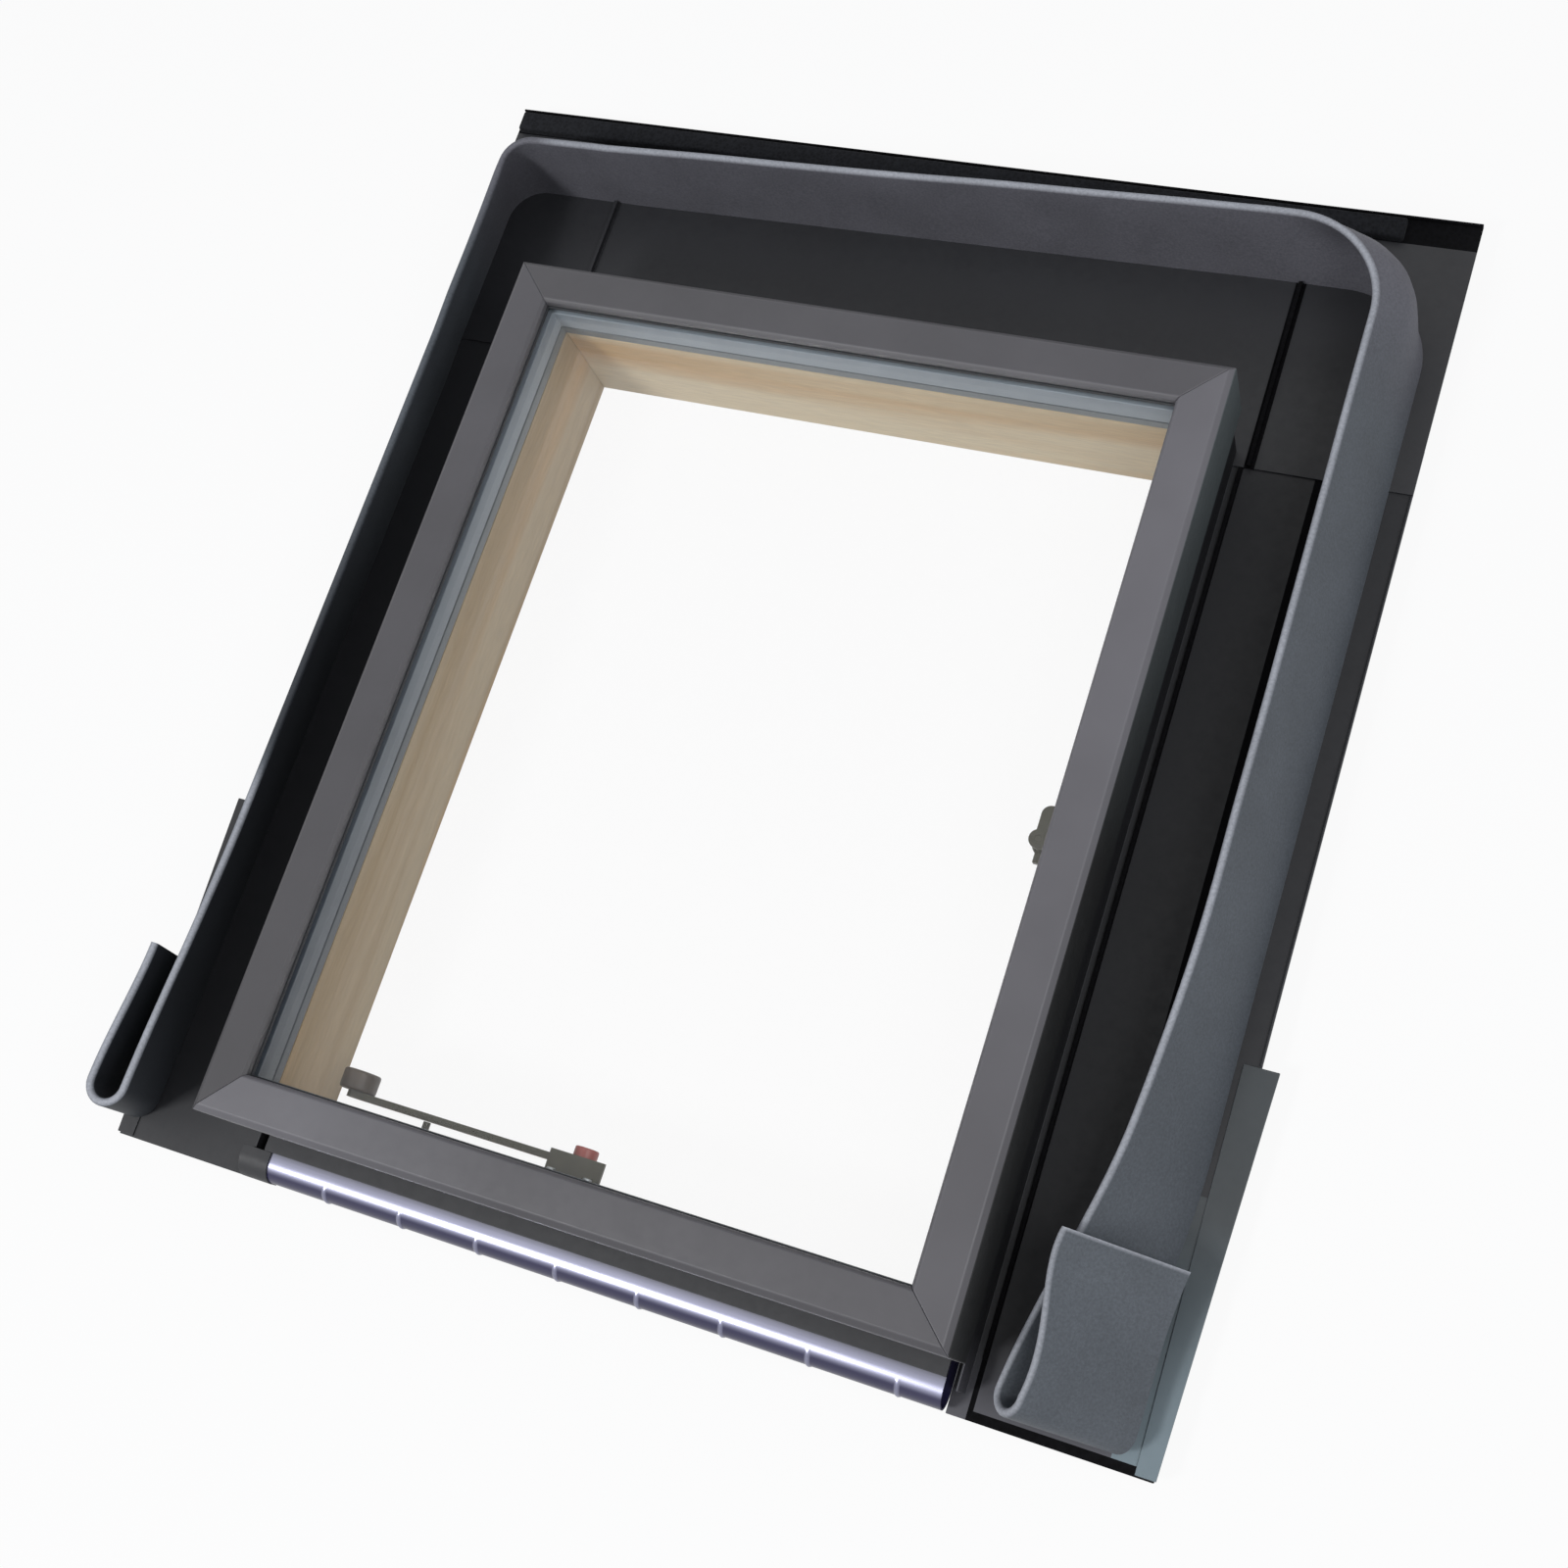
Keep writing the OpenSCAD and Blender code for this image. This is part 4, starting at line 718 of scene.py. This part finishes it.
# %% Collar sizes
WINDOW_Y = -70.5
FLOOR_Z, LAP_Y, LAP_W, LAP_STEP = 14.5, 267, 30, 1.2
TOP_FLOOR_Z = FLOOR_Z + LAP_STEP
STRIP_W, STRIP_T, FOOT_X, FOOT_TOP_Y, STRAY = 70.5, 5, 315.5, 394, 4
LEAN, LEFT_LEAN, TOP_LEAN_LEFT, TOP_LEAN_RIGHT = 21, 17, 4, 2
TWIST, TWIST_LENGTH, SETTLE_LENGTH = 33, 300, 180
TOE_IN, TOE_LENGTH = 11, 150
FOLD_RIGHT, FOLD_LEFT, TAIL, LIFT = -288.5, -282.5, 87, 15.9
FOLD_R_RIGHT, FOLD_OPEN_RIGHT, FOLD_R_LEFT = 10, 14, 12
TAIL_FOOT_AWAY, TAIL_GAP, TAIL_SHIFT, LEFT_TAIL_AWAY = 22.5, 0.8, 12.5, 18
CORNER, BULGE, BULGE_RISE = 98, 12, 1.5
FOOT_R_RIGHT, CREST_R_RIGHT, FOOT_R_LEFT, CREST_R_LEFT = 52, 56, 26, 17


def mix(a, b, t):
    return a + (b - a) * t


def ease(t):
    t = min(max(t, 0), 1)
    return t * t * (3 - 2 * t)


def span(a, b, steps):
    return [mix(a, b, i / steps) for i in range(steps + 1)]


def sin(a):
    return math.sin(math.radians(a))


def cos(a):
    return math.cos(math.radians(a))


print("collar strip", STRIP_W, "mm wide and", STRIP_T, "mm thick")


# %% Collar stations
def right_lean(y):
    return LEAN + TWIST * min(max((FOLD_RIGHT + TWIST_LENGTH - y) / TWIST_LENGTH, 0), 1) ** 2


def left_lean(y):
    return mix(LEAN, LEFT_LEAN, ease((FOLD_LEFT + SETTLE_LENGTH - y) / SETTLE_LENGTH))


def right_foot(y):
    return FOOT_X - TOE_IN * ease((FOLD_RIGHT + TOE_LENGTH - y) / TOE_LENGTH)


def floor_under(y):
    return FLOOR_Z + LAP_STEP * min(max((y - LAP_Y + LAP_W) / LAP_W, 0), 1)


def upright(foot, side, lean):
    foot = Vector(foot)
    return foot, foot + Vector((-side * sin(lean), 0, cos(lean))) * STRIP_W, 0


def right_tail(y):
    t, lean = ease((y - FOLD_RIGHT) / TAIL), right_lean(y)
    foot_away = mix(2 * FOLD_R_RIGHT, TAIL_FOOT_AWAY, t)
    crest_away = mix(2 * FOLD_OPEN_RIGHT, STRIP_T + TAIL_GAP, t)
    shift = TAIL_SHIFT * t
    end_away = foot_away + (crest_away - foot_away) * STRIP_W / (STRIP_W - shift)
    base = Vector((right_foot(y), y, FLOOR_Z))
    up, face = Vector((-sin(lean), 0, cos(lean))), Vector((cos(lean), 0, sin(lean)))
    return base + face * foot_away + up * shift, base + face * end_away + up * (shift + STRIP_W), 0


def bent(x, top_y, r, s):
    corner_x, corner_y = FOOT_X - CORNER, FOOT_TOP_Y - CORNER
    first, arc, last = top_y - r - corner_y, r * math.pi / 2, x - r - corner_x
    q = s * (first + arc + last)
    a = math.degrees((q - first) / r)
    if q < first:
        return x, corner_y + q
    if q < first + arc:
        return x - r + r * cos(a), top_y - r + r * sin(a)
    return x - r - (q - first - arc), top_y


def corner(side, foot_r, crest_r, foot_y, crest_y, lean, bulge, s):
    fx, fy = bent(FOOT_X, foot_y, foot_r, s)
    cx, cy = bent(FOOT_X - STRIP_W * sin(LEAN), crest_y, crest_r, s)
    rise = STRIP_W * mix(cos(LEAN), cos(lean), ease(s))
    swell = bulge * sin(180 * s) ** 2
    return Vector((side * fx, fy, TOP_FLOOR_Z)), Vector((side * cx, cy, TOP_FLOOR_Z + rise)), swell


print("lean at the right fold:", right_lean(FOLD_RIGHT), "degrees")

# %% [markdown]
# The run starts at the free end of the right tail, goes round its fold, up the right side, round both
# top corners, down the left side and round the left fold to the other free end. The last number of
# each span is its count of steps, closest where the strip bends most.

# %% Collar run
run = [right_tail(y) for y in span(FOLD_RIGHT + TAIL, FOLD_RIGHT, 40)]
fold_lean = right_lean(FOLD_RIGHT)
fold_foot, fold_top, _ = upright((right_foot(FOLD_RIGHT), FOLD_RIGHT, FLOOR_Z), 1, fold_lean)
fold_face = Vector((cos(fold_lean), 0, sin(fold_lean)))
for a in span(170, 10, 20):
    ahead = Vector((0, -FOLD_R_RIGHT * sin(a), 0))
    run.append((fold_foot + ahead + fold_face * FOLD_R_RIGHT * (1 - cos(a)),
        fold_top + ahead + fold_face * FOLD_OPEN_RIGHT * (1 - cos(a)), 0))
run += [upright((right_foot(y), y, floor_under(y)), 1, right_lean(y)) for y in span(FOLD_RIGHT, LAP_Y, 110)]

right_y, left_y = FOOT_TOP_Y + STRAY, FOOT_TOP_Y - STRAY
right_crest_y = right_y + STRIP_W * sin(TOP_LEAN_RIGHT)
left_crest_y = left_y - STRIP_W * sin(TOP_LEAN_LEFT)
right_turn = [corner(1, FOOT_R_RIGHT, CREST_R_RIGHT, right_y, right_crest_y, TOP_LEAN_RIGHT, BULGE, s)
    for s in span(0, 1, 48)]
left_turn = [corner(-1, FOOT_R_LEFT, CREST_R_LEFT, left_y, left_crest_y, TOP_LEAN_LEFT, 0, s)
    for s in span(1, 0, 48)]
run += right_turn
(foot_a, top_a, _), (foot_b, top_b, _) = right_turn[-1], left_turn[0]
run += [(foot_a.lerp(foot_b, t), top_a.lerp(top_b, t), 0) for t in span(0, 1, 60)[1:-1]]
run += left_turn

for y in span(LAP_Y, FOLD_LEFT, 90):
    lift = (LIFT - FLOOR_Z) * min(max((FOLD_LEFT + TAIL - y) / TAIL, 0), 1)
    run.append(upright((-FOOT_X, y, floor_under(y) + lift), -1, left_lean(y)))
for a in span(9, 171, 24):
    fold_x, fold_y = -FOOT_X - FOLD_R_LEFT * (1 - cos(a)), FOLD_LEFT - FOLD_R_LEFT * sin(a)
    run.append(upright((fold_x, fold_y, LIFT), -1, LEFT_LEAN))
for y in span(FOLD_LEFT, FOLD_LEFT + TAIL, 34):
    away = mix(2 * FOLD_R_LEFT, LEFT_TAIL_AWAY, ease((y - FOLD_LEFT) / TAIL))
    run.append(upright((-FOOT_X - away, y, LIFT), -1, LEFT_LEAN))
print("collar stations:", len(run))

# %% [markdown]
# The section is a flat strip with a level foot and a half-round crest. It is written once as pairs of
# (share of half thickness, height), and every row of the grid takes one pair. A slow noise bows the
# free crest by a fraction of a millimetre, because no rubber strip stands perfectly straight. The left
# run stays straight; it is painted dark as painted shade, and its crest carries the painted highlight
# only near the lower end.

# %% Collar mesh
HALF = STRIP_T / 2
LEFT_X, BLEND = -250, 60
BOW, BOW_SCALE, BOW_Y, BOW_LENGTH = 0.8, 0.012, -150, 120
LEFT_SHADE_Y, LEFT_SHADE_LENGTH, PALE_CREST_Y, PALE_CREST_LENGTH = 180, 200, -95, 50

rows = [(1, h) for h in span(0, STRIP_W - HALF, 8)]
rows += [(cos(a), STRIP_W - HALF + HALF * sin(a)) for a in span(22.5, 157.5, 6)]
rows += [(-1, h) for h in span(STRIP_W - HALF, 0, 8)]
last, around = len(run) - 1, len(rows)

bm = bmesh.new()
# The UV map runs along the strip one way and round its section the other way.
bm.loops.layers.uv.new("strip")
bmesh.ops.create_grid(bm, x_segments=last, y_segments=around, size=1, calc_uvs=True)
# The attribute `crest` carries painted shade on most of the left run and a painted highlight on the crest.
wear_and_painted_light_tone = bm.verts.layers.float.new("crest")
for vert in bm.verts:
    i, j = round((vert.co.x + 1) / 2 * last), round((vert.co.y + 1) / 2 * around) % around
    foot, top, swell = run[i]
    before, after = run[max(i - 1, 0)][0], run[min(i + 1, last)][0]
    up = (top - foot).normalized()
    face = (after - before).cross(up).normalized()
    across, height = rows[j]
    share = min(height / (STRIP_W - HALF), 1)
    reach = height + ((top - foot).length - STRIP_W) * share
    point = foot + up * reach + face * (across * HALF + swell * sin(180 * share ** BULGE_RISE))
    if height == 0:
        point -= up * (face.z * across * HALF / up.z)
    free = ease((foot.y - BOW_Y) / BOW_LENGTH) * ease(height / STRIP_W) * ease((foot.x - LEFT_X) / BLEND)
    point += face * free * BOW * noise.noise(foot * BOW_SCALE)
    left = ease((LEFT_X - foot.x) / BLEND)
    left_painted_shade = left * ease((LEFT_SHADE_Y - foot.y) / LEFT_SHADE_LENGTH)
    wear_and_painted_light = (height - STRIP_W + HALF) / HALF if height > STRIP_W - HALF else -1
    wear_and_painted_light = mix(wear_and_painted_light, -1, left * ease((foot.y - PALE_CREST_Y) / PALE_CREST_LENGTH))
    vert[wear_and_painted_light_tone] = 1.0 if i == 0 else max(-left_painted_shade, wear_and_painted_light)
    vert.co = Vector((point.x, point.y + WINDOW_Y, point.z)) * MM
bmesh.ops.remove_doubles(bm, verts=bm.verts, dist=WELD)
bmesh.ops.holes_fill(bm, edges=[e for e in bm.edges if e.is_boundary], sides=0)
bmesh.ops.recalc_face_normals(bm, faces=bm.faces)
print("collar faces:", len(bm.faces), "open edges:", sum(e.is_boundary for e in bm.edges))
set_down("flexible_collar", bm, collar_rubber, "collar", "collar")

# %% [markdown]
# ## The apron
#
# Below the sill a bright sheet runs forward, rolls over a half circle and is folded back under. Pleats
# stand across the roll, so that it can be dressed to the tiles. Spin could turn the roll, but a pleat
# rises and dies away along it. So a grid follows the rolled profile one way and the width the other
# way, with extra columns where a pleat rises, and solidify gives it the thickness of the sheet. Past
# the top of the roll the sheet is painted dark as a painted reflection, which an attribute carries; on
# the pleats it is lighter, a painted highlight.

# %% Apron profile
APRON_X, APRON_TOP_Y, UNDER_LEG = 217.5, -276.2, 19.5
ROLL_Y, ROLL_Z, ROLL_R, SHEET = -296.3, 24.7, 11.4, 1.2
# Degrees round the roll where the painted dark reflection starts, and over how many it comes in.
DARK_REFLECTION_ANGLE, DARK_REFLECTION_BLEND = 13, 26
PLEATS, PLEAT_PITCH, PLEAT_SHIFT, PLEAT_HALF = 8, 52, 1.1, 1.6
PLEAT_COLUMNS = (-2.4, -1.6, -1.1, -0.6, 0, 0.6, 1.1, 1.6, 2.4)

mid_r = ROLL_R - SHEET / 2
profile = [(y, ROLL_Z + mid_r, 0) for y in span(APRON_TOP_Y, ROLL_Y, 3)[:-1]]
profile += [(ROLL_Y - mid_r * sin(a), ROLL_Z + mid_r * cos(a), ease((a - DARK_REFLECTION_ANGLE) / DARK_REFLECTION_BLEND))
    for a in span(0, 180, 60)]
profile += [(y, ROLL_Z - mid_r, 1) for y in span(ROLL_Y, ROLL_Y + UNDER_LEG, 3)[1:]]
pleats = [APRON_X - (i + 0.5) * PLEAT_PITCH + PLEAT_SHIFT for i in range(PLEATS)]
columns = set(span(-APRON_X, APRON_X, 80))
for x in pleats:
    columns |= {x + step for step in PLEAT_COLUMNS}
columns = sorted(columns)
print("apron grid:", len(columns), "columns of", len(profile), "points")

# %% Apron mesh
PLEAT_RISE, PLEAT_HIGHLIGHT, PLEAT_FADE_Z = 0.7, 0.55, 4

bm = bmesh.new()
bmesh.ops.create_grid(bm, x_segments=len(columns) - 1, y_segments=len(profile) - 1, size=1)
# Painted dark reflection past the top of the roll, lighter on each pleat as a painted highlight.
dark_reflection_layer = bm.verts.layers.float.new("dark_reflection")
for vert in bm.verts:
    x = columns[round((vert.co.x + 1) / 2 * (len(columns) - 1))]
    y, z, dark = profile[round((vert.co.y + 1) / 2 * (len(profile) - 1))]
    pleat = ease(1 - min(abs(x - p) for p in pleats) / PLEAT_HALF)
    vert[dark_reflection_layer] = dark * (1 - PLEAT_HIGHLIGHT * pleat)
    if y < ROLL_Y:
        out = Vector((y - ROLL_Y, z - ROLL_Z)).normalized()
    else:
        out = Vector((0, 1 if z > ROLL_Z else -1))
    rise = PLEAT_RISE * pleat * dark * ease((z - FLOOR_Z) / PLEAT_FADE_Z)
    vert.co = Vector((x, y + out.x * rise + WINDOW_Y, z + out.y * rise)) * MM
bmesh.ops.recalc_face_normals(bm, faces=bm.faces)
bmesh.ops.solidify(bm, geom=bm.faces, thickness=SHEET * MM)
bmesh.ops.recalc_face_normals(bm, faces=bm.faces)
low = min(v.co.z for v in bm.verts) / MM
high = max(v.co.z for v in bm.verts) / MM
print("apron from", round(low, 2), "to", round(high, 2), "mm, before it is lowered")
# The sheet has grown outwards, so it goes down until its top is at the height of the roll.
bmesh.ops.translate(bm, verts=bm.verts, vec=(0, 0, (ROLL_Z + ROLL_R - high) * MM))
set_down("rolled_apron", bm, apron_metal, "apron", "apron")

# %% [markdown]
# ## The foam strip
#
# A black foam strip lies along the far edge of the flange. Foam is cut, not planed, so its edges are
# soft and its faces wander: a box is rounded, subdivided and moved by noise. A Displace modifier could
# move it as well, but here the underside has to stay flat on the sheet. The noise is written in waves
# per metre.

# %% Foam mesh
# The radius is in millimetres, and an edge counts as long past 0.3 metres.
FOAM_ROUND, FOAM_LONG, FOAM_CUTS = 1.6, 0.3, 160
LUMPS, PITS, LUMP_MM, PIT_MM, SINK_MM, FLAT_MM = 60, 190, 0.9, 0.4, 0.9, 1
NARROW, NARROW_WANDER = 0.06, 0.05

low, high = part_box("foam_strip")
bm = bmesh.new()
bmesh.ops.create_cube(bm, size=1)
bmesh.ops.scale(bm, verts=bm.verts, vec=high - low)
bmesh.ops.translate(bm, verts=bm.verts, vec=(low + high) / 2)
bmesh.ops.bevel(bm, geom=bm.edges[:], offset=FOAM_ROUND * MM, offset_type="OFFSET", segments=2, profile=0.5,
    affect="EDGES", clamp_overlap=True, material=-1)
long_edges = [e for e in bm.edges if abs(e.verts[0].co.x - e.verts[1].co.x) > FOAM_LONG]
bmesh.ops.subdivide_edges(bm, edges=long_edges, cuts=FOAM_CUTS, use_grid_fill=True)
for vert in bm.verts:
    swell = noise.noise(vert.co * LUMPS) * LUMP_MM + noise.noise(vert.co * PITS) * PIT_MM
    if vert.co.z > low.z + FLAT_MM * MM:
        vert.co.z += (swell - SINK_MM) * MM
        vert.co.y = mix(vert.co.y, (low.y + high.y) / 2, NARROW + NARROW_WANDER * swell)
foam = set_down("cut_foam_strip", bm, black_foam, "foam", "foam_strip")
print("foam strip faces:", len(foam.data.polygons))
